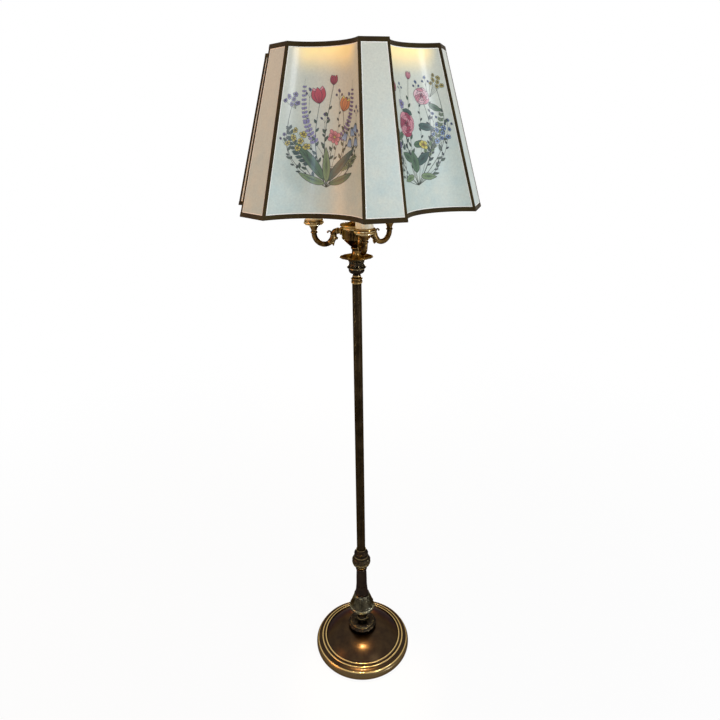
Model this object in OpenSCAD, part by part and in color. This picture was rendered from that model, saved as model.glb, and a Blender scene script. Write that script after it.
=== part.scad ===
// Torchiere floor lamp: a weighted round base, a fluted post, a cluster of three candle arms,
// a glass bowl over a centre socket, and a shade of six hollow and six flat panels.
// Millimetres, +Z up, -Y to the front. The origin is on the floor, under the post.

/* [Base] */
// Outer radius of the spun base
base_r = 131.5; // [115:0.5:160]
// Radius of the rolled rim of the base
roll_r = 13.5; // [8:0.5:16]
// Radius of the outer raised bead of the base
bead_outer_r = 113.6; // [107:0.2:115]
// Radius of the inner raised bead of the base
bead_inner_r = 104.6; // [96:0.2:106]
// Section radius of the raised beads
bead_t = 2.3; // [1.5:0.1:2.8]
// Height of the shoulder that carries the beads, above the rolled rim
shoulder_rise = 4; // [2:0.5:8]
// Rise of the dome inside the beads
dome_rise = 28; // [15:1:45]
// Wall of the spun base
shell_t = 1.6; // [1:0.1:2.5]
// Thickness of the felt pad
felt_t = 2; // [1.5:0.5:4]
// Radius of the felt pad
felt_r = 112; // [95:1:113]
// Thickness of the cast iron weight
weight_h = 19; // [12:1:21]
// Radius of the boss on the weight
boss_r = 24; // [18:1:32]
// Height of the cord inlet above the floor
inlet_z = 14.5; // [12:0.5:16]
// Radius of the cord hole in the inlet bushing
inlet_r = 3.6; // [2.5:0.1:4.5]

/* [Pedestal] */
// Radius of the foot collar
foot_r = 39.4; // [37:0.2:44]
// Height of the foot collar
foot_h = 18; // [15:0.5:24]
// Number of leaves round the foot collar
foot_leaves = 14; // [8:1:18]
// Radius of the neck dome at its foot
ball_r = 32; // [26:0.5:35.5]
// Height of the neck dome
ball_h = 13; // [10:0.5:20]
// Radius of the stem between the neck dome and the bell
stem_r = 13.5; // [10:0.5:16]
// Gap in height between the neck dome and the rim of the bell
bell_drop = 34.3; // [20:0.1:42]
// Radius of the bell at its rim
bell_r = 35.6; // [30:0.2:40]
// Radius of the bell at its top
bell_top_r = 19.5; // [17:0.5:23]
// Height of the bell
bell_h = 44.5; // [36:0.5:54]
// Number of leaves round the bell
bell_leaves = 10; // [6:1:12]
// Height of the turned column
column_h = 86; // [60:1:110]
// Radius of the column at its foot
column_foot_r = 18.2; // [16:0.2:21]
// Radius of the column at its waist
column_waist_r = 14.8; // [12:0.2:16]
// Number of flutes round the column
column_flutes = 12; // [8:1:16]
// Height of the waist above the foot of the column
waist_z = 41; // [30:1:52]
// Height of the bead collar
beads_h = 8; // [6:0.5:10]
// Radius at which the small beads sit
beads_r = 12.2; // [11:0.2:14]
// Largest radius of the main knob
knob_r = 25.9; // [21:0.2:30]
// Height of the main knob
knob_h = 30; // [26:1:36]
// Number of lobes round the main knob
knob_lobes = 16; // [10:1:18]
// Radius of the ring on the knob cap
cap_r = 19.4; // [18:0.2:23]
// Height of the knob cap
cap_h = 22; // [19:1:28]

/* [Post] */
// Outer radius of the post
post_r = 11.6; // [10:0.2:12.6]
// Wall of the post
post_wall = 2.4; // [2:0.1:3]
// Length of the post
post_len = 768; // [500:1:900]
// Number of flutes round the post
post_flutes = 18; // [12:1:20]
// Radius of the cutter for one flute
flute_r = 1.3; // [0.8:0.1:1.5]
// Outer radius of the threaded pipe
pipe_r = 4.8; // [4:0.1:5.5]
// Wall of the threaded pipe
pipe_wall = 1.5; // [1:0.1:2]
// Depth of the seats that hold the ends of the post
seat_h = 4; // [3:0.5:6]

/* [Cluster] */
// Height of the collar on top of the post
collar_h = 18; // [16:0.5:24]
// Radius of the two rings on that collar
collar_r = 14.3; // [14:0.1:17]
// Height of the baluster under the drip pan
baluster_h = 42; // [38:1:52]
// Radius of the ring round the baluster
baluster_r = 23.4; // [20:0.2:27]
// Radius of the neck of the baluster
baluster_neck_r = 9.5; // [8:0.1:11]
// Radius of the drip pan
pan_r = 41.2; // [36:0.2:48]
// Thickness of the drip pan
pan_t = 1.8; // [1.2:0.1:2.4]
// Number of petals round the drip pan
pan_petals = 16; // [10:1:20]
// Radius of the urn that holds the arms
urn_r = 34.3; // [32:0.1:38]
// Radius of the neck under the urn
urn_neck_r = 11.8; // [10:0.2:14]
// Height of the foot and neck under the drum of the urn
urn_foot_h = 49; // [42:1:58]
// Height of the drum of the urn
urn_drum_h = 24; // [23:0.5:32]
// Wall of the urn
urn_wall = 3.4; // [2.6:0.2:4]
// Number of flutes round the drum
urn_flutes = 12; // [12:6:18]
// Radius of the rim of the urn cap
rim_r = 38.5; // [36.5:0.1:43]
// Height of the urn cap
rim_h = 15; // [12:0.5:20]

/* [Arms] */
// Azimuth of the first arm, from the front towards the right
arm_az = 10; // [0:1:30]
// Distance of the candles from the post
arm_reach = 109; // [100:1:130]
// Radius of the U bend
bend_r = 25.5; // [20:0.5:28]
// Radius of the elbow beside the urn
elbow_r = 9; // [8:0.5:11]
// Radius of the arm's tube
arm_r = 6.6; // [5:0.2:7]
// Radius of the collar where an arm meets the urn
arm_collar_r = 9.6; // [8:0.2:10.5]
// Height from the U bend's centre to the top of the arm
tip_h = 19.5; // [15:0.5:23]
// Radius of the top of the arm
tip_r = 11; // [8:0.2:12]

/* [Candles] */
// Radius of the candle sleeve
sleeve_r = 20; // [18:0.2:21.5]
// Wall of the candle sleeve
sleeve_wall = 1.4; // [1:0.1:2]
// Length of the candle sleeve
sleeve_len = 53; // [46:1:70]
// Radius of the scalloped drip ring
cup_r = 24.7; // [23.8:0.1:28]
// Height of the candle cup
cup_h = 15; // [12:0.5:20]
// Number of scallops round the drip ring
cup_scallops = 14; // [8:1:18]
// Radius of the bulb cap in a candle
candle_cap_r = 13; // [11:0.1:13.5]
// Length of the bulb cap in a candle
candle_cap_h = 24; // [20:1:27]
// Largest radius of a candle bulb
flame_r = 17.5; // [15.5:0.1:19]
// Length of a candle bulb's glass
flame_h = 80; // [65:1:86]

/* [Centre socket and bowl] */
// Height of the riser above the urn cap
riser_h = 22; // [16:1:34]
// Radius of the centre socket's brass cap
socket_cap_r = 30; // [28:0.5:34]
// Height of the centre socket's brass cap
socket_cap_h = 40; // [34:1:50]
// Radius of the centre bulb's cap
mogul_cap_r = 19.5; // [17:0.1:20]
// Outer radius of the porcelain socket
mogul_r = 24; // [23:0.2:26]
// Height of the porcelain socket
mogul_h = 58; // [50:1:66]
// Largest radius of the centre bulb
mogul_bulb_r = 28.5; // [25:0.5:31]
// Length of the centre bulb's glass
mogul_bulb_h = 100; // [85:1:104]
// Radius of the fitter that holds the bowl
fitter_r = 44; // [42:0.5:50]
// Height of the lip of the fitter
fitter_lip = 10; // [6:0.5:14]
// Sheet thickness of the fitter
fitter_t = 2.4; // [1.6:0.2:3]
// Thickness of the cushion ring under the glass
cushion_t = 2; // [1.5:0.5:3]
// Outer radius of the neck of the bowl
bowl_neck_r = 37; // [35.5:0.5:39]
// Height of the neck of the bowl
bowl_neck_h = 16; // [10:1:20]
// Radius of the bowl at its rim
bowl_r = 127; // [118:1:130]
// Height of the bowl from neck to rim
bowl_h = 138; // [115:1:145]
// Wall of the glass bowl
glass_t = 3.2; // [2.4:0.2:4]

/* [Shade] */
// Height of the shade's lower edge above the floor end of the riser
shade_lift = 38; // [32:1:46]
// Height of the shade
shade_h = 342; // [335:1:400]
// Radius of the lower corners
shade_bottom_r = 288.4; // [280:0.2:300]
// Radius of the upper corners
shade_top_r = 200.3; // [190:0.2:215]
// Azimuth of the first flat panel
shade_az = 11.5; // [0:0.5:30]
// Half angle of a flat panel, seen from the post
flat_half = 8.6; // [7.5:0.1:9.6]
// Depth of a hollow panel, as a share of its chord
hollow = 0.26; // [0.18:0.01:0.29]
// Thickness of the panels
panel_t = 1.2; // [0.8:0.1:1.6]
// Width of the trim tape
trim_w = 9; // [6:0.5:12]
// Thickness of the trim tape
trim_t = 0.8; // [0.5:0.1:1.2]
// Radius of the frame wire
wire_r = 1.8; // [1.5:0.1:2.2]
// Radius of the ring of the shade carrier
carrier_r = 108; // [98:1:112]

/* [Switches] */
// Radius of the cluster switch's spindle
spindle_r = 3; // [2.4:0.1:3.2]
// Radius of the cluster switch's knob
switch_knob_r = 9; // [7:0.5:10]
// Length of the centre socket's turn key
key_len = 15; // [12:0.5:18]
// Azimuth of the turn key on the centre socket
key_az = 70; // [50:1:90]

/* [Clearances] */
// Gap round the threaded pipe and in other still fits
fit_gap = 0.15; // [0.1:0.05:0.3]
// Gap between pieces that lift off or turn and what carries them
lift_gap = 0.3; // [0.2:0.05:0.4]
// Gap round a spindle in its bearing
spin_gap = 0.05; // [0.04:0.01:0.08]

/* [Hidden] */
CANDLES = [1, 2, 3];
HOLLOWS = [1, 2, 3, 4, 5, 6];

// Finishes
brass_dark = "#5a4526";
brass_gold = "#a9803a";
bronze = "#33261a";
ivory = "#efe4c4";
parchment = "#d9d6bd";
tape = "#3e3418";

// Heights up the post, each from the one below it
lip_gap = 1;
z_roll = lip_gap + roll_r;
z_step = z_roll + roll_r * sin(60);
z_shoulder = z_step + shoulder_rise;
z_dome = z_shoulder + shoulder_rise;
z_foot = z_dome + dome_rise;
z_ball = z_foot + foot_h;
z_bell = z_ball + ball_h + bell_drop;
z_column = z_bell + bell_h;
z_beads = z_column + column_h;
z_knob = z_beads + beads_h;
z_cap = z_knob + knob_h;
z_post = z_cap + cap_h - seat_h;
z_collar = z_post + post_len - seat_h;
z_baluster = z_collar + collar_h;
z_pan = z_baluster + baluster_h;
z_urn = z_pan + pan_t;
z_drum = z_urn + urn_foot_h;
z_rim = z_drum + urn_drum_h;
z_riser = z_rim + rim_h;
z_socket = z_riser + riser_h;
z_fitter = z_socket + socket_cap_h;
z_cushion = z_fitter + fitter_t;
z_bowl = z_cushion + cushion_t + lift_gap;
z_bowl_flare = z_bowl + bowl_neck_h;
z_bowl_rim = z_bowl_flare + bowl_h;
z_mogul = z_fitter - 8;
z_centre_bulb = z_mogul + mogul_h + lift_gap;
z_shade = z_riser + shade_lift;
z_shade_top = z_shade + shade_h;

// Bores and seats
bore_r = pipe_r + fit_gap;
post_seat_r = post_r + fit_gap;
roll_c = base_r - roll_r;
nut_h = 6;
nut_r = 2 * pipe_r;
washer_t = 2;
recess_r = nut_r + 5;
z_nut = felt_t + 2;
z_washer = z_nut + nut_h;
z_recess = z_washer + washer_t;
stem_top = z_bell + 22;
pipe_bottom = z_nut - 1;
pipe_top = z_drum + 10;

// Arms, measured outwards from the post
z_arm = z_drum + 15;
z_bend = z_arm - elbow_r;
z_cup = z_bend + tip_h;
urn_pad_r = urn_r + 1.2;
arm_inner = arm_reach - 2 * bend_r;
nipple_r = 4.6;
arm_nut_h = 3;
inner_r = urn_r - urn_wall;
plug_h = 1.5;
floor_t = 3;
z_candle_floor = z_cup + floor_t;
z_sleeve_top = z_candle_floor + sleeve_len;
candle_socket_h = sleeve_len - 4;
candle_socket_r = candle_cap_r + lift_gap + 2;
switch_az = arm_az + 180;
bowl_inner = bowl_r - glass_t;

// Shade outline
hollow_half = 30 - flat_half;
arc_half = 2 * atan(2 * hollow);
shade_turn = 30 + arc_half;
joint_r = 1.8 * wire_r;
seat = 1.35 * wire_r;
wire_in = panel_t + joint_r + 0.35;
trim_gap = 0.15;
panel_gap = 0.3;
panel_trim = panel_t * tan(shade_turn / 2) + panel_gap;
arc_steps = 24;

function arm_azimuth(i) = arm_az + 120 * (i - 1);
function flat_azimuth(k) = shade_az + 60 * k;
function hollow_azimuth(k) = flat_azimuth(k) + 30;
// Arc from angle a0 to a1 round (cx, cy), with n steps
function arc(cx, cy, r, a0, a1, n) =
    [for (i = [0:n]) let (a = a0 + (a1 - a0) * i / n) [cx + r * cos(a), cy + r * sin(a)]];
// Unit vector in the floor plane at an azimuth
function heading(az) = [sin(az), -cos(az)];
// Radius of the shade's corners at height z
function corner_r(z) = shade_bottom_r + (shade_top_r - shade_bottom_r) * (z - z_shade) / shade_h;
// Radius of the arc of a hollow panel whose corners are at radius r
function arc_r(r) = let (c = r * sin(hollow_half), s = 2 * c * hollow) (c * c + s * s) / (2 * s);
// Distance of that arc's centre from the post
function arc_c(r) = r * cos(hollow_half) - 2 * r * sin(hollow_half) * hollow + arc_r(r);
// Corner of flat panel k at height z, on side -1 or 1, moved outwards by d from both faces
function corner(k, side, z, d) =
    let (turn = side * shade_turn / 2)
    corner_r(z) * heading(flat_azimuth(k) + side * flat_half)
    + d / cos(shade_turn / 2) * heading(flat_azimuth(k) + turn);
// Point on hollow panel k at height z and arc angle a, moved outwards by d
function hollow_point(k, z, a, d) =
    let (r = corner_r(z), u = heading(hollow_azimuth(k)), v = heading(hollow_azimuth(k) + 90))
    (arc_c(r) - (arc_r(r) - d) * cos(a)) * u + (arc_r(r) - d) * sin(a) * v;
// Half angle of a hollow panel between its trimmed edges, at height z
function panel_half(z) = arc_half - panel_trim / arc_r(corner_r(z)) * 180 / PI;
// Closed outline of the shade at height z, moved outwards by d
function outline(z, d) = [
    for (k = [0:5])
        for (j = [-2:arc_steps])
            let (p = j < 0 ? corner(k, 2 * j + 3, z, d)
                : hollow_point(k, z, panel_half(z) * (2 * j / arc_steps - 1), d))
            [p.x, p.y, z]
];

// A turned piece: the outline runs up the outside, round a bore
module turned(bore, points) {
    rotate_extrude($fn = 96)
        polygon(concat([[bore, points[0].y]], points, [[bore, points[len(points) - 1].y]]));
}

// A round ring about the post
module hoop(r, t, z) {
    translate([0, 0, z])
        rotate_extrude($fn = 96)
            translate([r, 0])
                circle(r = t, $fn = 32);
}

// Children spaced evenly about the post
module around(count, start = 0) {
    for (i = [0:count - 1])
        rotate([0, 0, start + 360 * i / count])
            children();
}

// Children turned from +X to an azimuth
module toward(az) {
    rotate([0, 0, az - 90])
        children();
}

// A closed loft through rings of equal length. The second half of a ring runs back along the first.
module loft(rings) {
    n = len(rings[0]);
    m = len(rings);
    points = [for (ring = rings) for (p = ring) p];
    sides = [
        for (j = [0:m - 2], i = [0:n - 1])
            for (f = [[j * n + i, (j + 1) * n + i, (j + 1) * n + (i + 1) % n],
                      [j * n + i, (j + 1) * n + (i + 1) % n, j * n + (i + 1) % n]])
                f
    ];
    top = (m - 1) * n;
    ends = [
        for (i = [0:n / 2 - 2])
            for (f = [[i, i + 1, n - 2 - i, n - 1 - i],
                      [top + n - 1 - i, top + n - 2 - i, top + i + 1, top + i]])
                f
    ];
    polyhedron(points, concat(sides, ends));
}

// Outline of the spun base, with its surface moved in by a distance
module base_outline(inset) {
    dome_w = bead_inner_r - bead_t - foot_r;
    dome = [
        for (i = [18:-1:0])
            [foot_r + dome_w * i / 18, z_foot - dome_rise * (1 - cos(5 * i)) - inset]
    ];
    translate([roll_c, z_roll])
        circle(r = roll_r - inset, $fn = 64);
    polygon(concat(
        [[0, z_roll], [roll_c, z_roll], [roll_c + roll_r / 2 - inset, z_step - inset - 0.5]],
        [[bead_outer_r + bead_t, z_shoulder - inset], [bead_inner_r + bead_t, z_shoulder + 2 - inset]],
        dome,
        [[0, z_foot - inset]]
    ));
}

module base_felt() {
    color("darkgreen")
        difference() {
            cylinder(h = felt_t, r = felt_r, $fn = 96);
            translate([0, 0, -1])
                cylinder(h = felt_t + 2, r = recess_r + 4, $fn = 64);
        }
}

module base_weight() {
    clear = shell_t + 0.4;
    color("dimgray")
        difference() {
            union() {
                intersection() {
                    rotate_extrude($fn = 96)
                        union() {
                            base_outline(clear);
                            square([felt_r, z_roll + 1]);
                        }
                    translate([0, 0, felt_t])
                        cylinder(h = weight_h, r = roll_c - 2, $fn = 96);
                }
                translate([0, 0, felt_t])
                    cylinder(h = z_foot - shell_t - felt_t, r = boss_r, $fn = 64);
            }
            translate([0, 0, -1])
                cylinder(h = z_foot + 2, r = bore_r, $fn = 48);
            translate([0, 0, -1])
                cylinder(h = z_recess + 1, r = recess_r, $fn = 64);
            toward(180)
                translate([recess_r, 0, inlet_z])
                    rotate([0, 90, 0])
                        cylinder(h = base_r, r = inlet_r + 5.4, $fn = 32);
        }
}

module base_shell() {
    color(brass_dark)
        difference() {
            union() {
                rotate_extrude($fn = 96)
                    difference() {
                        base_outline(0);
                        base_outline(shell_t);
                        square([felt_r + 2, z_roll + 1]);
                    }
                hoop(roll_c + roll_r / 2 - 0.4, 1.5, z_step + 0.4);
                hoop(bead_outer_r, bead_t, z_shoulder + 0.4);
                hoop(bead_inner_r, bead_t, z_shoulder + 2.4);
            }
            translate([0, 0, z_foot - 10])
                cylinder(h = 20, r = bore_r, $fn = 48);
            toward(180)
                translate([roll_c - 6, 0, inlet_z])
                    rotate([0, 90, 0])
                        cylinder(h = 30, r = inlet_r + 2, $fn = 48);
        }
}

module base_washer() {
    color("silver")
        translate([0, 0, z_washer])
            difference() {
                cylinder(h = washer_t, r = recess_r - 1, $fn = 64);
                translate([0, 0, -1])
                    cylinder(h = washer_t + 2, r = bore_r, $fn = 48);
            }
}

module base_nut() {
    color("silver")
        translate([0, 0, z_nut])
            difference() {
                cylinder(h = nut_h, r = nut_r, $fn = 6);
                translate([0, 0, -1])
                    cylinder(h = nut_h + 2, r = pipe_r + spin_gap, $fn = 48);
            }
}

// Bushing that the lead passes through, low at the back of the base
module cord_bushing() {
    seat = roll_c + sqrt(roll_r * roll_r - pow(inlet_z - z_roll, 2));
    color("saddlebrown")
        toward(180)
            translate([seat, 0, inlet_z])
                rotate([0, 90, 0])
                    difference() {
                        union() {
                            translate([0, 0, -shell_t - 3])
                                cylinder(h = shell_t + 5, r = inlet_r + 2 - fit_gap, $fn = 48);
                            translate([0, 0, 0.4])
                                cylinder(h = 2, r = inlet_r + 4, $fn = 48);
                        }
                        translate([0, 0, -20])
                            cylinder(h = 40, r = inlet_r, $fn = 48);
                    }
}

module foot_collar() {
    color(brass_gold)
        translate([0, 0, z_foot])
            union() {
                turned(bore_r, concat(
                    [[foot_r - 13, 0]],
                    [for (i = [0:6])
                        [foot_r - 12 + 12 * sin(15 * i), (0.42 * foot_h) * (1 - cos(15 * i)) + 0.8]],
                    [for (i = [1:5])
                        [foot_r - (foot_r - ball_r) * pow(i / 5, 1.6), 0.42 * foot_h + 0.8
                         + (0.58 * foot_h - 0.8) * i / 5]]
                ));
                around(foot_leaves)
                    translate([foot_r - 3.2, 0, 0.42 * foot_h])
                        sphere(r = 4.4, $fn = 32);
            }
}

// Leafed dome over the foot collar, drawn in to the stem that carries the bell
module neck_ball() {
    rise = ball_h - 4;
    top = z_bell - z_ball;
    color(bronze)
        translate([0, 0, z_ball])
            turned(bore_r, concat(
                [[ball_r, 0]],
                [for (i = [1:9])
                    [stem_r + 0.6 + (ball_r - stem_r - 0.6) * cos(10 * i), 0.9 * rise * sin(10 * i)]],
                arc(stem_r + 0.6, rise + 0.6, 2, -60, 80, 6),
                [for (i = [0:6])
                    [stem_r - 1.6 * sin(30 * i), ball_h + (top - ball_h) * i / 6]],
                [[stem_r, stem_top - z_ball]]
            ));
}

// Bell with long leaves parted by grooves
module bell_cup() {
    rise = bell_h - 4;
    slope = atan(0.82 * (bell_r - bell_top_r) / rise);
    color(brass_dark)
        translate([0, 0, z_bell])
            difference() {
                union() {
                    turned(bore_r, concat(
                        [[bell_r, 0]],
                        [for (i = [0:10])
                            [bell_top_r + (bell_r - 1.6 - bell_top_r) * pow(1 - i / 10, 0.84), 2 + rise * i / 10]],
                        [[bell_top_r + 1.4, bell_h - 2], [bell_top_r + 1.4, bell_h]]
                    ));
                    hoop(bell_r - 1.9, 2, 2.2);
                }
                around(bell_leaves)
                    translate([bell_r - 2.2, 0, 6.5])
                        rotate([0, -slope, 0])
                            cylinder(h = rise - 9, r = 1.7, $fn = 24);
                translate([0, 0, -1])
                    cylinder(h = 23, r = stem_r + 3, $fn = 64);
                translate([0, 0, -1])
                    cylinder(h = 12, r1 = bell_r - 2.4, r2 = stem_r + 6, $fn = 64);
            }
}

module pedestal_column() {
    top = column_h - 6;
    color(brass_gold)
        translate([0, 0, z_column])
            difference() {
                turned(bore_r, concat(
                    arc(column_foot_r - 1.5, 2.5, 2.5, -90, 80, 6),
                    [for (i = [0:6])
                        [column_waist_r + (column_foot_r - 0.4 - column_waist_r) * pow(1 - i / 6, 1.9),
                         5.5 + (waist_z - 5.5) * i / 6]],
                    [for (i = [1:6])
                        [column_waist_r - 1.2 * pow(i / 6, 2), waist_z + (top - waist_z) * i / 6]],
                    arc(column_waist_r - 1.2, column_h - 3, 2, -80, 80, 6),
                    [[beads_r, column_h]]
                ));
                around(column_flutes)
                    translate([column_waist_r + 2.1, 0, waist_z - 14])
                        cylinder(h = top - waist_z + 10, r = 2.8, $fn = 32);
            }
}

module bead_collar() {
    color(brass_gold)
        translate([0, 0, z_beads])
            difference() {
                union() {
                    cylinder(h = beads_h, r = beads_r - 0.6, $fn = 64);
                    around(14)
                        translate([beads_r, 0, beads_h / 2])
                            sphere(r = min(2.9, beads_h / 2 - 0.2), $fn = 24);
                }
                translate([0, 0, -1])
                    cylinder(h = beads_h + 2, r = bore_r, $fn = 48);
            }
}

module main_knob() {
    mid = knob_h / 2;
    color(brass_gold)
        translate([0, 0, z_knob]) {
            turned(bore_r, concat(
                [[knob_r - 9.5, 0]],
                [for (i = [-7:6])
                    [knob_r - 1 - 6 * (1 - cos(12 * i)), mid + (mid - 1.6) * sin(12 * i)]],
                [[cap_r - 1, knob_h - 1.6], [cap_r - 0.6, knob_h]]
            ));
            around(knob_lobes)
                translate([knob_r - 5, 0, mid])
                    sphere(r = 5, $fn = 32);
        }
}

module knob_cap() {
    color(brass_dark)
        translate([0, 0, z_cap])
            difference() {
                turned(bore_r, concat(
                    [[cap_r - 0.6, 0], [cap_r - 1, 3]],
                    arc(cap_r - 4, 0.42 * cap_h, 4, -55, 70, 8),
                    [[post_seat_r + 3.6, 0.42 * cap_h + 6.5], [post_seat_r + 1.8, 0.42 * cap_h + 9.5],
                     [post_seat_r + 1.8, cap_h]]
                ));
                translate([0, 0, cap_h - seat_h])
                    cylinder(h = seat_h + 1, r = post_seat_r, $fn = 64);
            }
}

module post_tube() {
    color(bronze)
        translate([0, 0, z_post])
            linear_extrude(height = post_len)
                difference() {
                    circle(r = post_r, $fn = 96);
                    circle(r = post_r - post_wall, $fn = 64);
                    around(post_flutes)
                        translate([post_r + 0.5, 0])
                            circle(r = flute_r, $fn = 24);
                }
}

module threaded_pipe() {
    color("silver")
        translate([0, 0, pipe_bottom])
            difference() {
                cylinder(h = pipe_top - pipe_bottom, r = pipe_r, $fn = 48);
                translate([0, 0, -1])
                    cylinder(h = pipe_top - pipe_bottom + 2, r = pipe_r - pipe_wall, $fn = 48);
            }
}

module top_collar() {
    color(brass_gold)
        translate([0, 0, z_collar])
            difference() {
                turned(bore_r, concat(
                    [[collar_r - 0.6, 0]],
                    arc(collar_r - 2, 4, 2, -80, 80, 6),
                    arc(collar_r - 2, 11, 2, -80, 80, 6),
                    [[baluster_neck_r + 1, collar_h - 3], [baluster_neck_r + 1, collar_h]]
                ));
                translate([0, 0, -1])
                    cylinder(h = seat_h + 1, r = post_seat_r, $fn = 64);
            }
}

module baluster() {
    ring_z = 0.52 * baluster_h;
    color(brass_dark)
        translate([0, 0, z_baluster])
            turned(bore_r, concat(
                [[baluster_neck_r, 0], [baluster_neck_r, 2.6]],
                [for (t = [0:7])
                    [baluster_neck_r + 0.76 * (baluster_r - baluster_neck_r) * sin(12 * t),
                     3.4 + (ring_z - 9) * (1 - cos(12 * t)) / (1 - cos(84))]],
                arc(baluster_r - 2.6, ring_z, 2.6, -70, 70, 8),
                [for (t = [1:8])
                    [baluster_r - 2 - 4.2 * sin(20 * t), ring_z + 3.4 + (baluster_h - ring_z - 8.6) * t / 8]],
                arc(baluster_r - 4.4, baluster_h - 2.8, 2.2, -60, 80, 6),
                [[baluster_r - 5, baluster_h]]
            ));
}

// Drip pan: a shallow dish with a petalled edge
module drip_pan() {
    lift = 5;
    color(brass_gold)
        translate([0, 0, z_pan])
            difference() {
                rotate_extrude($fn = 96)
                    polygon(concat(
                        [[bore_r, 0], [0.5 * pan_r, 0], [0.86 * pan_r, lift - 1], [pan_r - 1, lift - 1]],
                        arc(pan_r - 1, lift, 1, -90, 90, 6),
                        [[0.84 * pan_r, lift + pan_t - 0.4], [0.5 * pan_r, pan_t], [bore_r, pan_t]]
                    ));
                around(pan_petals)
                    translate([pan_r + 2.6, 0, -1])
                        cylinder(h = lift + pan_t + 3, r = 4, $fn = 24);
            }
}

// Urn that gathers the arms, hollow for their wiring
module cluster_body() {
    top = urn_foot_h + urn_drum_h;
    neck_z = 0.46 * urn_foot_h;
    color(brass_dark)
        translate([0, 0, z_urn])
            difference() {
                union() {
                    turned(bore_r, concat(
                        [[20, 0]],
                        [for (i = [0:7])
                            [urn_neck_r - 1.2 + (20 - urn_neck_r) * pow(1 - i / 7, 2.4), 1 + (neck_z - 4) * i / 7]],
                        arc(urn_neck_r - 0.6, neck_z + 2.4, 2.2, -70, 80, 6),
                        [for (i = [0:6])
                            [urn_neck_r + 1.4 + (urn_r - urn_neck_r - 1.4) * pow(i / 6, 0.88),
                             neck_z + 6 + (urn_foot_h - neck_z - 6) * i / 6]],
                        [[urn_r, top]]
                    ));
                    for (i = CANDLES)
                        toward(arm_azimuth(i))
                            translate([inner_r, 0, z_arm - z_urn])
                                rotate([0, 90, 0])
                                    cylinder(h = urn_pad_r - inner_r, r = arm_collar_r - 0.6, $fn = 48);
                    toward(switch_az)
                        translate([inner_r, 0, z_arm - z_urn])
                            rotate([0, 90, 0])
                                cylinder(h = urn_pad_r - inner_r, r = spindle_r + 4, $fn = 48);
                }
                around(urn_flutes, arm_az - 90 + 180 / urn_flutes)
                    translate([urn_r + 10.8, 0, urn_foot_h - 8])
                        cylinder(h = urn_drum_h + 5, r = 12, $fn = 48);
                translate([0, 0, urn_foot_h + 1])
                    cylinder(h = urn_drum_h, r = inner_r, $fn = 64);
                for (i = CANDLES)
                    toward(arm_azimuth(i))
                        translate([0, 0, z_arm - z_urn])
                            rotate([0, 90, 0])
                                cylinder(h = 60, r = nipple_r + fit_gap, $fn = 32);
                toward(switch_az)
                    translate([0, 0, z_arm - z_urn])
                        rotate([0, 90, 0])
                            cylinder(h = 60, r = spindle_r + 1.6 + fit_gap, $fn = 32);
            }
}

module cluster_cap() {
    color(brass_gold)
        translate([0, 0, z_rim])
            difference() {
                union() {
                    turned(4, concat(
                        [[urn_r, 0]],
                        arc(rim_r + 1, 2, rim_r - urn_r + 1, 190, 130, 4),
                        arc(rim_r - 2.6, 0.52 * rim_h, 2.6, -50, 90, 8),
                        arc(12, rim_h - 15, 15, 55, 90, 5)
                    ));
                    translate([0, 0, -plug_h])
                        cylinder(h = plug_h + 1, r = inner_r - fit_gap, $fn = 64);
                }
                translate([0, 0, -plug_h - 1])
                    cylinder(h = plug_h + 2, r = inner_r - 3, $fn = 64);
                translate([0, 0, -5])
                    cylinder(h = rim_h + 10, r = 4, $fn = 32);
            }
}

// Rotary switch of the candle lights, clamped in the back of the urn
module cluster_switch() {
    color("dimgray")
        toward(switch_az)
            translate([0, 0, z_arm])
                rotate([0, 90, 0])
                    difference() {
                        union() {
                            translate([0, 0, inner_r - 14])
                                cylinder(h = 12, r = 7, $fn = 48);
                            translate([0, 0, inner_r - 3])
                                cylinder(h = urn_pad_r - inner_r + 6, r = spindle_r + 1.6, $fn = 48);
                            translate([0, 0, urn_pad_r])
                                cylinder(h = 2, r = spindle_r + 3.4, $fn = 6);
                        }
                        translate([0, 0, inner_r - 10])
                            cylinder(h = 40, r = spindle_r + spin_gap, $fn = 48);
                    }
}

module switch_knob() {
    face = urn_pad_r + 3 + lift_gap;
    color(brass_gold)
        toward(switch_az)
            translate([0, 0, z_arm])
                rotate([0, 90, 0]) {
                    translate([0, 0, inner_r - 9.6])
                        cylinder(h = face - inner_r + 11, r = spindle_r, $fn = 48);
                    translate([0, 0, face])
                        difference() {
                            cylinder(h = 10, r = switch_knob_r, $fn = 48);
                            around(12)
                                translate([switch_knob_r + 0.6, 0, 2])
                                    cylinder(h = 10, r = 1.2, $fn = 16);
                        }
                }
}

// Nut on the pipe's upper end, which clamps the whole post together
module pipe_nut() {
    color("silver")
        translate([0, 0, z_drum + 1])
            difference() {
                cylinder(h = nut_h, r = nut_r, $fn = 6);
                translate([0, 0, -1])
                    cylinder(h = nut_h + 2, r = pipe_r + spin_gap, $fn = 48);
            }
}

// Nuts that hold the arms' nipples inside the urn
module arm_nuts() {
    color("silver")
        for (i = CANDLES)
            toward(arm_azimuth(i))
                translate([inner_r - 1.6 - arm_nut_h, 0, z_arm])
                    rotate([0, 90, 0])
                        difference() {
                            cylinder(h = arm_nut_h, r = nipple_r + 2.4, $fn = 6);
                            translate([0, 0, -1])
                                cylinder(h = arm_nut_h + 2, r = nipple_r + spin_gap, $fn = 32);
                        }
}

// A rolled leaf tip: part of a ring that ends in a bud
module curl(r, t, a0, a1) {
    rotate([90, 0, 0]) {
        rotate_extrude(angle = a1 - a0, start = a0, $fn = 48)
            translate([r, 0])
                circle(r = t, $fn = 24);
        translate([r * cos(a1), r * sin(a1), 0])
            sphere(r = t + 0.5, $fn = 24);
    }
}

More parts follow.
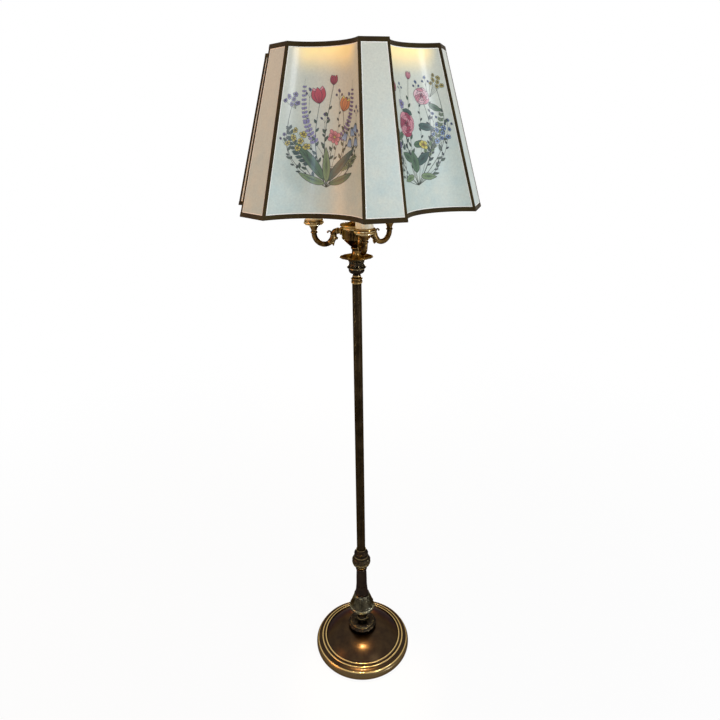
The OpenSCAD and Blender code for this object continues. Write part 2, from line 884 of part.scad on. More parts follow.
module arm(i) {
    color(brass_dark)
        toward(arm_azimuth(i)) {
            // Nipple, stub and the collar against the urn
            translate([inner_r - 6, 0, z_arm])
                rotate([0, 90, 0])
                    cylinder(h = urn_pad_r - inner_r + 7, r = nipple_r, $fn = 48);
            translate([urn_pad_r + fit_gap, 0, z_arm])
                rotate([0, 90, 0])
                    cylinder(h = 4, r = arm_collar_r, $fn = 48);
            translate([urn_pad_r + 3, 0, z_arm])
                rotate([0, 90, 0])
                    cylinder(h = arm_inner - elbow_r - urn_pad_r - 3, r = arm_r, $fn = 48);
            translate([arm_inner - elbow_r - 3.4, 0, z_arm])
                rotate([0, 90, 0])
                    cylinder(h = 2.6, r = arm_r + 1.5, $fn = 48);
            // Elbow, U bend and the upright under the candle
            translate([arm_inner - elbow_r, 0, z_bend])
                rotate([90, 0, 0])
                    rotate_extrude(angle = 90, $fn = 48)
                        translate([elbow_r, 0])
                            circle(r = arm_r, $fn = 48);
            translate([arm_reach - bend_r, 0, z_bend])
                rotate([90, 0, 0])
                    rotate_extrude(angle = 180, start = 180, $fn = 96)
                        translate([bend_r, 0])
                            circle(r = arm_r, $fn = 48);
            translate([arm_reach, 0, z_bend])
                arm_tip();
            // Leaf sheath on the inner limb, with its curls
            translate([arm_reach - bend_r, 0, z_bend])
                rotate([90, 0, 0])
                    rotate_extrude(angle = 46, start = 184, $fn = 96)
                        translate([bend_r, 0])
                            circle(r = arm_r + 1.1, $fn = 48);
            translate([arm_inner + arm_r + 4.2, 0, z_bend + 3])
                curl(4.6, 1.9, 215, 20);
            translate([arm_inner - arm_r - 1, 0, z_bend - 9])
                sphere(r = 4, $fn = 32);
        }
}

// Upright end of an arm: a knuckle, then a flare that carries the cup
module arm_tip() {
    turned(0, concat(
        [[arm_r, 0], [arm_r, 0.6]],
        arc(arm_r - 0.4, 3.2, 2.6, -80, 80, 6),
        [for (i = [0:5]) [arm_r + (tip_r - arm_r) * pow(i / 5, 1.6), 6 + (tip_h - 8) * i / 5]],
        [[tip_r, tip_h]]
    ));
}

// Cup with a scalloped drip ring
module candle_cup(i) {
    color(brass_gold)
        toward(arm_azimuth(i))
            translate([arm_reach, 0, z_cup])
                difference() {
                    union() {
                        turned(0, concat(
                            [[tip_r, 0]],
                            arc(tip_r, floor_t + 3, floor_t + 3, 280, 310, 4),
                            [[sleeve_r + 1.2, floor_t - 0.4], [sleeve_r + 2.6, cup_h - 1.4],
                             [sleeve_r + 1.8, cup_h]]
                        ));
                        difference() {
                            turned(0, [[sleeve_r, 3.4], [cup_r - 0.8, 5.4], [cup_r, 6.8],
                                       [cup_r - 0.6, 9.6], [sleeve_r, 8]]);
                            around(cup_scallops)
                                translate([cup_r + 2.2, 0, 0])
                                    cylinder(h = cup_h, r = 3, $fn = 24);
                        }
                        hoop(sleeve_r + 1.4, 1.8, cup_h - 1.8);
                    }
                    translate([0, 0, floor_t])
                        cylinder(h = cup_h, r = sleeve_r + fit_gap, $fn = 64);
                }
}

module candle_sleeve(i) {
    color(ivory)
        toward(arm_azimuth(i))
            translate([arm_reach, 0, z_candle_floor])
                difference() {
                    cylinder(h = sleeve_len, r = sleeve_r, $fn = 64);
                    translate([0, 0, -1])
                        cylinder(h = sleeve_len + 2, r = sleeve_r - sleeve_wall, $fn = 64);
                }
}

module candle_sockets() {
    color("dimgray")
        for (i = CANDLES)
            toward(arm_azimuth(i))
                translate([arm_reach, 0, z_candle_floor])
                    difference() {
                        union() {
                            cylinder(h = candle_socket_h, r = candle_socket_r, $fn = 64);
                            cylinder(h = 3, r = sleeve_r - sleeve_wall - 0.4, $fn = 64);
                        }
                        translate([0, 0, candle_socket_h - candle_cap_h - 1])
                            cylinder(h = candle_cap_h + 2, r = candle_cap_r + lift_gap, $fn = 64);
                    }
}

// Flame-shaped bulb: its glass starts just above the sleeve
module candle_bulb(i) {
    foot = candle_cap_r - 0.4;
    color("ivory", 0.6)
        toward(arm_azimuth(i))
            translate([arm_reach, 0, z_sleeve_top + lift_gap])
                turned(0, concat(
                    [for (t = [0:6]) [foot + (flame_r - foot) * sin(15 * t), 0.3 * flame_h * t / 6]],
                    [for (t = [1:8])
                        [flame_r * pow(cos(11 * t), 0.95), flame_h * (0.3 + 0.69 * pow(t / 8, 0.95))]],
                    [[0, flame_h]]
                ));
}

module candle_bulb_cap(i) {
    z_low = z_candle_floor + candle_socket_h - candle_cap_h + 1;
    color("gold")
        toward(arm_azimuth(i))
            translate([arm_reach, 0, z_low]) {
                cylinder(h = z_sleeve_top + lift_gap - z_low, r = candle_cap_r, $fn = 64);
                translate([0, 0, -1.4])
                    cylinder(h = 2, r = 4, $fn = 32);
            }
}

module riser() {
    color(brass_gold)
        translate([0, 0, z_riser])
            turned(4, concat(
                [[13, 0], [13, 2.4]],
                arc(18, 0.5 * riser_h, 0.5 * riser_h - 3, 235, 125, 8),
                [[12, riser_h - 2], [12, riser_h]]
            ));
}

module socket_cap() {
    color(brass_dark)
        translate([0, 0, z_socket])
            difference() {
                union() {
                    turned(4, concat(
                        [[13, 0]],
                        [for (t = [0:6])
                            [socket_cap_r - 14 * (1 - sin(15 * t)), 1.5 + 14 * (1 - cos(15 * t))]],
                        [[socket_cap_r, socket_cap_h]]
                    ));
                    hoop(socket_cap_r - 0.6, 1.8, socket_cap_h - 6);
                    toward(key_az)
                        translate([socket_cap_r - 6, 0, 22])
                            rotate([0, 90, 0])
                                cylinder(h = 10, r = 6.5, $fn = 48);
                }
                translate([0, 0, z_mogul - z_socket])
                    cylinder(h = 20, r = mogul_r + fit_gap, $fn = 64);
                toward(key_az)
                    translate([socket_cap_r - 12, 0, 22])
                        rotate([0, 90, 0])
                            cylinder(h = 30, r = 3 + spin_gap, $fn = 48);
            }
}

module mogul_socket() {
    color("whitesmoke")
        translate([0, 0, z_mogul])
            difference() {
                union() {
                    cylinder(h = mogul_h, r = mogul_r - 0.8, $fn = 64);
                    cylinder(h = 10, r = mogul_r, $fn = 64);
                    translate([0, 0, mogul_h - 5])
                        cylinder(h = 5, r = mogul_r, $fn = 64);
                }
                translate([0, 0, 8])
                    cylinder(h = mogul_h, r = mogul_cap_r + lift_gap, $fn = 64);
            }
}

// Turn key of the centre socket: a spindle with a flat ear
module turn_key() {
    face = socket_cap_r + 4 + lift_gap;
    color(bronze)
        toward(key_az)
            translate([0, 0, z_socket + 22])
                rotate([0, 90, 0]) {
                    translate([0, 0, socket_cap_r - 11.6])
                        cylinder(h = face - socket_cap_r + 13, r = 3, $fn = 48);
                    translate([0, 0, face]) {
                        cylinder(h = 4, r = 4.6, $fn = 48);
                        intersection() {
                            translate([-9, -1.8, 2])
                                cube([18, 3.6, key_len]);
                            translate([0, 0, 2 + key_len / 2])
                                rotate([90, 0, 0])
                                    cylinder(h = 10, r = 0.62 * key_len, center = true, $fn = 64);
                        }
                    }
                }
}

module bowl_fitter() {
    color(brass_gold)
        translate([0, 0, z_fitter])
            rotate_extrude($fn = 96) {
                translate([mogul_r + 0.6, 0])
                    square([fitter_r - mogul_r - 0.6, fitter_t]);
                translate([fitter_r - fitter_t, 0])
                    square([fitter_t, fitter_lip + fitter_t]);
                translate([fitter_r - 0.4, fitter_lip + fitter_t])
                    circle(r = 1.7, $fn = 32);
            }
}

module bowl_cushion() {
    color("saddlebrown")
        translate([0, 0, z_cushion])
            difference() {
                cylinder(h = cushion_t, r = fitter_r - fitter_t - 0.5, $fn = 64);
                translate([0, 0, -1])
                    cylinder(h = cushion_t + 2, r = bowl_neck_r - glass_t - 2, $fn = 64);
            }
}

module centre_bulb() {
    neck = mogul_cap_r - 2;
    color("ivory", 0.7)
        translate([0, 0, z_centre_bulb])
            turned(0, concat(
                [for (t = [0:8]) [neck + (mogul_bulb_r - neck) * (1 - cos(22.5 * t)) / 2,
                                  (mogul_bulb_h - mogul_bulb_r) * t / 8]],
                [for (t = [1:7])
                    [mogul_bulb_r * cos(12 * t), mogul_bulb_h - mogul_bulb_r * (1 - sin(12 * t))]],
                [[0, mogul_bulb_h]]
            ));
}

module centre_bulb_cap() {
    color("gold")
        translate([0, 0, z_mogul + 12]) {
            cylinder(h = z_centre_bulb - z_mogul - 12, r = mogul_cap_r, $fn = 64);
            translate([0, 0, -2.6])
                cylinder(h = 3, r = 6, $fn = 32);
        }
}

// Reflector bowl: a straight neck, then a full curve to a rounded rim
module glass_bowl() {
    function bowl_curve(t, wall) =
        [bowl_neck_r - wall + (bowl_r - bowl_neck_r) * pow(sin(90 * t), 0.92), bowl_neck_h + bowl_h * t];
    color("white", 0.8)
        translate([0, 0, z_bowl])
            rotate_extrude($fn = 120)
                union() {
                    polygon(concat(
                        [[bowl_neck_r - glass_t, 0], [bowl_neck_r + 1.4, 0]],
                        [[bowl_neck_r + 1.4, 3], [bowl_neck_r, 4.5]],
                        [for (i = [0:16]) bowl_curve(i / 16, 0)],
                        [for (i = [16:-1:0]) bowl_curve(i / 16, glass_t)]
                    ));
                    translate([bowl_r - glass_t / 2, bowl_neck_h + bowl_h])
                        circle(r = 0.6 * glass_t, $fn = 32);
                }
}

// Children turned from the vertical to run from one point towards another
module along(a, b) {
    u = (b - a) / norm(b - a);
    translate(a)
        rotate([0, acos(u.z), atan2(u.y, u.x)])
            children();
}

// A straight wire between two points, cut back at each end
module wire(a, b, r, back = 0) {
    along(a, b)
        translate([0, 0, back])
            cylinder(h = norm(b - a) - 2 * back, r = r, $fn = 32);
}

// A rib between two corners, with a sleeve at each end that takes the outline wires
module rib_wire(a, b) {
    l = norm(b - a);
    s = joint_r;
    along(a, b)
        rotate_extrude($fn = 48)
            polygon([[0, -s], [s, -s], [s, s], [wire_r, s], [wire_r, l - s], [s, l - s], [s, l + s], [0, l + s]]);
}

// Wire frame: two outline rings joined by twelve ribs, and the carrier that rests on the bowl
module shade_frame() {
    cross_r = wire_r - 0.2;
    spoke_r = wire_r - 0.4;
    peg_wire_r = wire_r - 0.6;
    peg_len = 14;
    z_low = z_shade + 1.3 * joint_r;
    z_high = z_shade_top - 1.3 * joint_r;
    z_carrier = z_bowl_rim + 0.6 * glass_t + lift_gap + cross_r;
    peg_r = bowl_inner - 1.4 * glass_t - wire_r;
    function rib(k, side, z) = concat(corner(k, side, z, -wire_in), [z]);
    color("darkgoldenrod") {
        for (k = [0:5], side = [-1, 1])
            rib_wire(rib(k, side, z_low), rib(k, side, z_high));
        for (k = [0:5], z = [z_low, z_high]) {
            wire(rib(k, -1, z), rib(k, 1, z), wire_r, seat);
            r = corner_r(z);
            reach = arc_r(r) + wire_in;
            c = arc_c(r) * heading(hollow_azimuth(k));
            tip = corner(k, 1, z, -wire_in) - c;
            half = acos(-(tip * heading(hollow_azimuth(k))) / norm(tip)) - seat / reach * 180 / PI;
            translate([c.x, c.y, z])
                rotate([0, 0, hollow_azimuth(k) + 90 - half])
                    rotate_extrude(angle = 2 * half, $fn = 120)
                        translate([reach, 0])
                            circle(r = wire_r, $fn = 32);
        }
        hoop(carrier_r, wire_r, z_carrier);
        for (k = [0, 2, 4]) {
            side_a = rib(k, -1, z_carrier);
            side_b = rib(k, 1, z_carrier);
            u = heading(flat_azimuth(k));
            wire(side_a, side_b, cross_r);
            wire([u.x * carrier_r, u.y * carrier_r, z_carrier], (side_a + side_b) / 2, spoke_r);
            translate([u.x * peg_r, u.y * peg_r, z_carrier - peg_len])
                cylinder(h = peg_len, r = peg_wire_r, $fn = 32);
        }
    }
}

// One hollow panel, from its lower edge to its upper edge
module hollow_panel(k) {
    function edge(z) =
        [for (d = [0, -panel_t]) for (j = [0:arc_steps])
            let (a = (d == 0 ? 1 : -1) * panel_half(z) * (2 * j / arc_steps - 1),
                 p = hollow_point(k - 1, z, a, d))
            [p.x, p.y, z]];
    color(parchment)
        loft([edge(z_shade), edge(z_shade_top)]);
}

module flat_panels() {
    function edge(k, z) =
        let (n = heading(flat_azimuth(k)), v = heading(flat_azimuth(k) + 90),
             face = corner_r(z) * cos(flat_half), half = corner_r(z) * sin(flat_half) - panel_trim)
        [for (q = [[-half, 0], [half, 0], [half, -panel_t], [-half, -panel_t]])
            let (p = (face + q.y) * n + q.x * v)
            [p.x, p.y, z]];
    color(parchment)
        for (k = [0:5])
            loft([edge(k, z_shade), edge(k, z_shade_top)]);
}

// Tape folded over each rib
module rib_trims() {
    z_low = z_shade + trim_w + 0.2;
    z_high = z_shade_top - trim_w - 0.2;
    wing = trim_w / 2;
    function fold(k, side, z, d) =
        let (c = corner(k, side, z, d),
             flat_end = corner_r(z) * heading(flat_azimuth(k) + side * flat_half)
                 + d * heading(flat_azimuth(k)) - side * wing * heading(flat_azimuth(k) + 90),
             h = arc_half - wing / arc_r(corner_r(z)) * 180 / PI,
             hollow_end = hollow_point(side > 0 ? k : k - 1, z, -side * h, d))
        [flat_end, c, hollow_end];
    function ring(k, side, z) =
        let (outer = fold(k, side, z, trim_gap + trim_t), inner = fold(k, side, z, trim_gap),
             loop = [outer[0], outer[1], outer[2], inner[2], inner[1], inner[0]])
        [for (i = [0:5]) let (p = loop[side > 0 ? i : 5 - i]) [p.x, p.y, z]];
    color(tape)
        for (k = [0:5], side = [-1, 1])
            loft([ring(k, side, z_low), ring(k, side, z_high)]);
}

// Tape round the upper and lower edges
module edge_trims() {
    color(tape)
        for (z = [[z_shade, z_shade + trim_w], [z_shade_top - trim_w, z_shade_top]]) {
            rings = [
                outline(z[0], trim_gap), outline(z[1], trim_gap),
                outline(z[1], trim_gap + trim_t), outline(z[0], trim_gap + trim_t)
            ];
            n = len(rings[0]);
            polyhedron(
                [for (ring = rings) for (p = ring) p],
                [for (j = [0:3], i = [0:n - 1])
                    for (f = [[j * n + i, ((j + 1) % 4) * n + i, ((j + 1) % 4) * n + (i + 1) % n],
                              [j * n + i, ((j + 1) % 4) * n + (i + 1) % n, j * n + (i + 1) % n]])
                        [f[2], f[1], f[0]]]
            );
        }
}

base_felt();
base_weight();
base_shell();
base_washer();
base_nut();
cord_bushing();
foot_collar();
neck_ball();
bell_cup();
pedestal_column();
bead_collar();
main_knob();
knob_cap();
post_tube();
threaded_pipe();
top_collar();
baluster();
drip_pan();
cluster_body();
cluster_cap();
cluster_switch();
switch_knob();
pipe_nut();
arm_nuts();
candle_sockets();
for (i = CANDLES) {
    arm(i);
    candle_cup(i);
    candle_sleeve(i);
    candle_bulb(i);
    candle_bulb_cap(i);
}
riser();
socket_cap();
mogul_socket();
turn_key();
bowl_fitter();
bowl_cushion();
centre_bulb();
centre_bulb_cap();
glass_bowl();
shade_frame();
for (i = HOLLOWS) {
    hollow_panel(i);
}
flat_panels();
rib_trims();
edge_trims();
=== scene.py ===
from functools import partial
from math import atan, atan2, ceil, cos, degrees, dist, exp, hypot, log, pi, radians, sin, sqrt, tan

import bmesh
import bpy
from mathutils import Matrix, Vector


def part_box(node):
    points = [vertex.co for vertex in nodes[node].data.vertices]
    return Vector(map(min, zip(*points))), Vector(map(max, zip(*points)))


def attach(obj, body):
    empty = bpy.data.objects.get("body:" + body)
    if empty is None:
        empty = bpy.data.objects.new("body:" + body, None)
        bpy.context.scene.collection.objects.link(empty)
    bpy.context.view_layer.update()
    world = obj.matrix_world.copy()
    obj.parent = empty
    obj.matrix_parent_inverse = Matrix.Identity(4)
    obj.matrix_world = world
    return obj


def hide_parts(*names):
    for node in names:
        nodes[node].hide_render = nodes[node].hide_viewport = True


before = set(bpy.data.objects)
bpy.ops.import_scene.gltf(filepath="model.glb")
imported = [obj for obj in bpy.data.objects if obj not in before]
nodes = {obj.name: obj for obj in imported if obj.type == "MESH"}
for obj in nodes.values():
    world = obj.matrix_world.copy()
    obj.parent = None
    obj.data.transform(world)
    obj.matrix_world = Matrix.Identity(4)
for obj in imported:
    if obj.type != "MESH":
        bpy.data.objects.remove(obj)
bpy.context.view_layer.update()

scene = bpy.context.scene
mm = 0.001
print("frame loaded:", len(nodes), "parts")

# camera, a standing person's view of the whole lamp
cameraSet = {
    "place": (0.0, -1.3909, 1.4379), "pitch": 14.9, "roll": -0.92,
    "lens": 29.48, "sensor": 36, "shift": (0.0043, -0.1018), "farthest": 50,
}

cameraData = bpy.data.cameras.new("lampCamera")
camera = bpy.data.objects.new("lampCamera", cameraData)
scene.collection.objects.link(camera)
cameraData.sensor_width = cameraSet["sensor"]
cameraData.lens = cameraSet["lens"]
cameraData.shift_x, cameraData.shift_y = cameraSet["shift"]
cameraData.clip_end = cameraSet["farthest"]
camera.matrix_world = (
    Matrix.Translation(cameraSet["place"])
    @ Matrix.Rotation(radians(90 - cameraSet["pitch"]), 4, "X")
    @ Matrix.Rotation(radians(cameraSet["roll"]), 4, "Z")
)
scene.camera = camera
scene.view_settings.view_transform = "Standard"


def srgb(hexColour):
    parts = [int(hexColour[i:i + 2], 16) / 255 for i in (1, 3, 5)]
    return tuple(p / 12.92 if p <= 0.04045 else ((p + 0.055) / 1.055) ** 2.4 for p in parts) + (1.0,)


# adds a shader node: settings are its own, inputs are nodes or sockets to link or values to set, by name or
# as a list in the order of the sockets in use; a range is [value, from low, from high, to low, to high]
def addNode(tree, kind, inputs=(), stops=(), **settings):
    node = tree.nodes.new("ShaderNode" + kind)
    for name, value in settings.items():
        setattr(node, name, value)
    for i, (place, colour) in enumerate(stops):
        node.color_ramp.elements[i].position = place
        node.color_ramp.elements[i].color = srgb(colour)
    if not isinstance(inputs, dict):
        inputs = dict(zip([i for i, socket in enumerate(node.inputs) if socket.enabled], inputs))
    for name, value in inputs.items():
        if isinstance(value, bpy.types.Node):
            value = next(socket for socket in value.outputs if socket.enabled)
        if isinstance(value, bpy.types.NodeSocket):
            tree.links.new(value, node.inputs[name])
        else:
            node.inputs[name].default_value = value
    return node


# the function that adds nodes to one tree, cleared first
def nodeAdder(tree):
    tree.nodes.clear()
    return partial(addNode, tree)


def startMaterial(name):
    material = bpy.data.materials.new(name)
    material.use_nodes = True
    return material, nodeAdder(material.node_tree)


# floor and light: the studio is plain white to rays that see it straight, mirrored or through glass
studioSet = {
    "floorSize": 60, "paint": "#E4E4E2", "paintRough": 0.75,
    "fade": (0.5, 2.6), "nearWhite": 0.94, "fill": 0.37, "fillColour": "#F3F5FA",
}
lightSet = {
    "key": {"place": (1.7, -2.3, 2.5), "size": 0.65, "power": 36, "colour": "#F0F6FF"},
    "warm": {"place": (-2.2, -0.9, 1.5), "size": 1.0, "power": 21, "colour": "#FFB05C"},
    "window": {"place": (1.95, -1.35, 0.3), "size": 0.34, "power": 22, "colour": "#D6E4FF"},
    "back": {"place": (0.0, 2.7, 0.75), "size": 0.8, "power": 34, "colour": "#FFF1DE"},
    "glint": {"place": (-0.78, -2.2, 2.05), "size": 0.2, "power": 5, "colour": "#BFD8FF"},
    # a narrow beam down out of the shade, from the bulb that lights it
    "inner": {"place": (0.0, -0.1365, 1.12), "aim": (0.0, -0.1365, 0.0), "size": 0.045, "power": 0.3,
              "colour": "#FFDCA0", "spread": 24},
}
lampMiddle = (0.0, 0.0, 1.0)


def seenRays(add):
    rays = add("LightPath").outputs
    direct = add("Math", [rays["Is Camera Ray"], rays["Is Glossy Ray"]], operation="MAXIMUM")
    return add("Math", [direct, rays["Is Transmission Ray"]], operation="MAXIMUM")


bpy.ops.object.select_all(action="DESELECT")
bpy.ops.mesh.primitive_plane_add(size=studioSet["floorSize"])
floor = bpy.context.object
floor.name = "studioFloor"

material, add = startMaterial("paleFloorPaint")
matt = add("BsdfPrincipled", {
    "Base Color": srgb(studioSet["paint"]), "Roughness": studioSet["paintRough"]})
white = add("Emission")
# the white of the floor is a touch darker near the lamp
away = add("VectorMath", [add("TexCoord").outputs["Object"]], operation="LENGTH")
fade = add("MapRange", [away, *studioSet["fade"], studioSet["nearWhite"]], interpolation_type="SMOOTHSTEP")
share = add("Math", [seenRays(add), fade], operation="MULTIPLY")
add("OutputMaterial", [add("MixShader", [share, matt, white])])
floor.data.materials.append(material)

world = bpy.data.worlds.new("paleStudio")
scene.world = world
world.use_nodes = True
add = nodeAdder(world.node_tree)
fill = add("Background", {"Color": srgb(studioSet["fillColour"]), "Strength": studioSet["fill"]})
white = add("Background", {"Color": (1, 1, 1, 1)})
add("OutputWorld", [add("MixShader", [seenRays(add), fill, white])])

for name, light in lightSet.items():
    lampData = bpy.data.lights.new(name + "Light", "AREA")
    lampData.size = light["size"]
    lampData.energy = light["power"]
    lampData.color = srgb(light["colour"])[:3]
    lampData.spread = radians(light.get("spread", 180))
    lamp = bpy.data.objects.new(name + "Light", lampData)
    scene.collection.objects.link(lamp)
    place = Vector(light["place"])
    aim = Vector(light.get("aim", lampMiddle)) - place
    lamp.matrix_world = Matrix.Translation(place) @ aim.to_track_quat("-Z", "Y").to_matrix().to_4x4()
print("camera, floor and light set")


# selects nothing, so that an operator works only on the piece just added
def startFresh():
    if bpy.context.object and bpy.context.object.mode != "OBJECT":
        bpy.ops.object.mode_set(mode="OBJECT")
    bpy.ops.object.select_all(action="DESELECT")


smoothAngle = 38


# a grid primitive laid by rule: rule(across, up) gives the place of each point, both shares run from 0 to 1
def laySheet(name, across, up, rule, wall=0.0, closed=False):
    startFresh()
    bpy.ops.mesh.primitive_grid_add(x_subdivisions=across, y_subdivisions=up, size=1)
    sheet = bpy.context.object
    sheet.name = sheet.data.name = name
    for vertex in sheet.data.vertices:
        vertex.co = rule(vertex.co.x + 0.5, vertex.co.y + 0.5)
    if closed:
        closeUp(sheet)
    if wall:
        addModifier(sheet, "SOLIDIFY", thickness=wall, offset=-1, use_even_offset=True)
    bpy.ops.object.shade_smooth_by_angle(angle=radians(smoothAngle))
    return sheet


def closeUp(piece, merge=1e-6):
    bpy.ops.object.mode_set(mode="EDIT")
    bpy.ops.mesh.select_all(action="SELECT")
    bpy.ops.mesh.remove_doubles(threshold=merge)
    bpy.ops.mesh.normals_make_consistent(inside=False)
    bpy.ops.object.mode_set(mode="OBJECT")


def addModifier(piece, kind, **settings):
    modifier = piece.modifiers.new(kind.title(), kind)
    for name, value in settings.items():
        setattr(modifier, name, value)
    bpy.ops.object.modifier_apply(modifier=modifier.name)


def paint(piece, material):
    piece.data.materials.clear()
    piece.data.materials.append(material)


# a piece joins the lamp: its body, its finish and the solids it stands for; the slot of the record is passed
# but not used
def fitPiece(piece, body, material, slot, *solids):
    paint(piece, material)
    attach(piece, body)
    if solids:
        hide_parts(*solids)


# the shade's outline: six flat panels between six hollow ones, on corners that lean in towards the top
shadeSet = {
    "bottomCorner": 0.2884, "topCorner": 0.2003, "turn": 11.5, "flatHalf": 8.6, "hollow": 0.26,
    "paper": 0.0012, "edgeGap": 0.0003, "across": 56, "up": 30,
}
shadeLow, shadeHigh = (corner.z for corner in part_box("edge_trims"))
shadeHeight = shadeHigh - shadeLow
flatHalf = radians(shadeSet["flatHalf"])
hollowHalf = radians(30) - flatHalf
arcHalf = 2 * atan(2 * shadeSet["hollow"])
shadeTurn = radians(30) + arcHalf
paperTrim = shadeSet["paper"] * tan(shadeTurn / 2) + shadeSet["edgeGap"]


def heading(azimuth):
    return Vector((sin(radians(azimuth)), -cos(radians(azimuth)), 0))


def flatAzimuth(k):
    return shadeSet["turn"] + 60 * k


def cornerRadius(z):
    lean = shadeSet["topCorner"] - shadeSet["bottomCorner"]
    return shadeSet["bottomCorner"] + lean * (z - shadeLow) / shadeHeight


def arcRadius(z):
    chord = cornerRadius(z) * sin(hollowHalf)
    depth = 2 * chord * shadeSet["hollow"]
    return (chord ** 2 + depth ** 2) / (2 * depth)


def arcCentre(z):
    r = cornerRadius(z)
    return r * cos(hollowHalf) - 2 * r * sin(hollowHalf) * shadeSet["hollow"] + arcRadius(z)


# a point on hollow panel k, at a height, an angle round its arc and a distance out from its face
def onHollow(k, z, angle, out=0.0):
    ahead, aside = heading(flatAzimuth(k) + 30), heading(flatAzimuth(k) + 120)
    r = arcRadius(z) - out
    return (arcCentre(z) - r * cos(angle)) * ahead + r * sin(angle) * aside + Vector((0, 0, z))


# a point on flat panel k, at a height and a distance to the right of its middle
def onFlat(k, z, aside, out=0.0):
    face = cornerRadius(z) * cos(flatHalf) + out
    return face * heading(flatAzimuth(k)) + aside * heading(flatAzimuth(k) + 90) + Vector((0, 0, z))


def flatWidth(z):
    return cornerRadius(z) * sin(flatHalf)


def onCorner(k, side, z, out):
    turn = heading(flatAzimuth(k) + side * degrees(shadeTurn) / 2)
    return onFlat(k, z, side * flatWidth(z)) + out / cos(shadeTurn / 2) * turn


# half the angle that the paper of a hollow panel fills, its edges trimmed to meet the flat ones
def paperHalf(z):
    return arcHalf - paperTrim / arcRadius(z)


# noise on the piece's own coordinates, at a grain size in metres
def grainNoise(add, place, size, detail=3.0, rough=0.5):
    return add("TexNoise", {"Vector": place, "Scale": 1 / size, "Detail": detail, "Roughness": rough})


def axisDistance(add, place):
    level = add("VectorMath", [place, (1, 1, 0)], operation="MULTIPLY")
    return add("VectorMath", [level], operation="LENGTH")


# rubbed lines of spun brass: bright rings, each with its radius, half its width and how far it is rubbed; one
# faint band among them is partly a painted highlight
def rubbedLinesAndSheen(add, place, rubbed, grain, lines):
    spread = axisDistance(add, place)
    for radius, half, share in lines:
        off = add("Math", [spread, radius], operation="SUBTRACT")
        off = add("Math", [off], operation="ABSOLUTE")
        line = add("MapRange", [off, half, 0.35 * half])
        line = add("MapRange", [grain, 0.2, 0.5, 0, line])
        line = add("Math", [line, share], operation="MULTIPLY")
        rubbed = add("Math", [rubbed, line], operation="MAXIMUM")
    return rubbed


# brass cast or spun: dark patina stays in the hollows, edges that hands and cloths reach are rubbed bright
brassSet = {"cloud": 0.022, "grain": 0.0011, "rim": "#A69A84", "wornRough": 0.2, "lacquerRough": 0.12}
spunWorn = "#D2B274"


def agedBrass(name, look):
    material, add = startMaterial(name)
    place = add("TexCoord").outputs["Object"]
    hollows = add("AmbientOcclusion", {"Distance": look["hollow"]}, samples=6, only_local=True)
    edges = add("AmbientOcclusion", {"Distance": look["edge"]}, samples=6, only_local=True, inside=True)
    clouds = grainNoise(add, place, brassSet["cloud"], 4.0, 0.6)
    grain = grainNoise(add, place, brassSet["grain"])
    patch = add("MapRange", [clouds, 0.34, 0.66])
    exposed = add("MapRange", [hollows.outputs["AO"], 0.5, 0.98])
    reach = add("Math", [exposed, patch], operation="MULTIPLY")
    body = add("Mix", [reach, srgb(look["patina"]), srgb(look["metal"])], data_type="RGBA")
    rubbed = add("MapRange", [edges.outputs["AO"], 0.92, 0.45, 0, look["wear"]])
    rubbed = add("Math", [rubbed, grain], operation="MULTIPLY", use_clamp=True)
    rubbed = rubbedLinesAndSheen(add, place, rubbed, grain, look.get("lines", []))
    colour = add("Mix", [rubbed, body, srgb(look["worn"])], data_type="RGBA")
    rough = add("MapRange", [rubbed, 0, 1, look["rough"], brassSet["wornRough"]])
    pits = add("Bump", {"Height": grain, "Strength": look["pits"], "Distance": 0.0002})
    add("OutputMaterial", [add("BsdfPrincipled", {
        "Base Color": colour, "Metallic": 1.0, "Roughness": rough, "Normal": pits,
        "Coat Weight": look.get("lacquer", 0.0), "Coat Roughness": brassSet["lacquerRough"],
        "Specular Tint": srgb(brassSet["rim"])})])
    return material


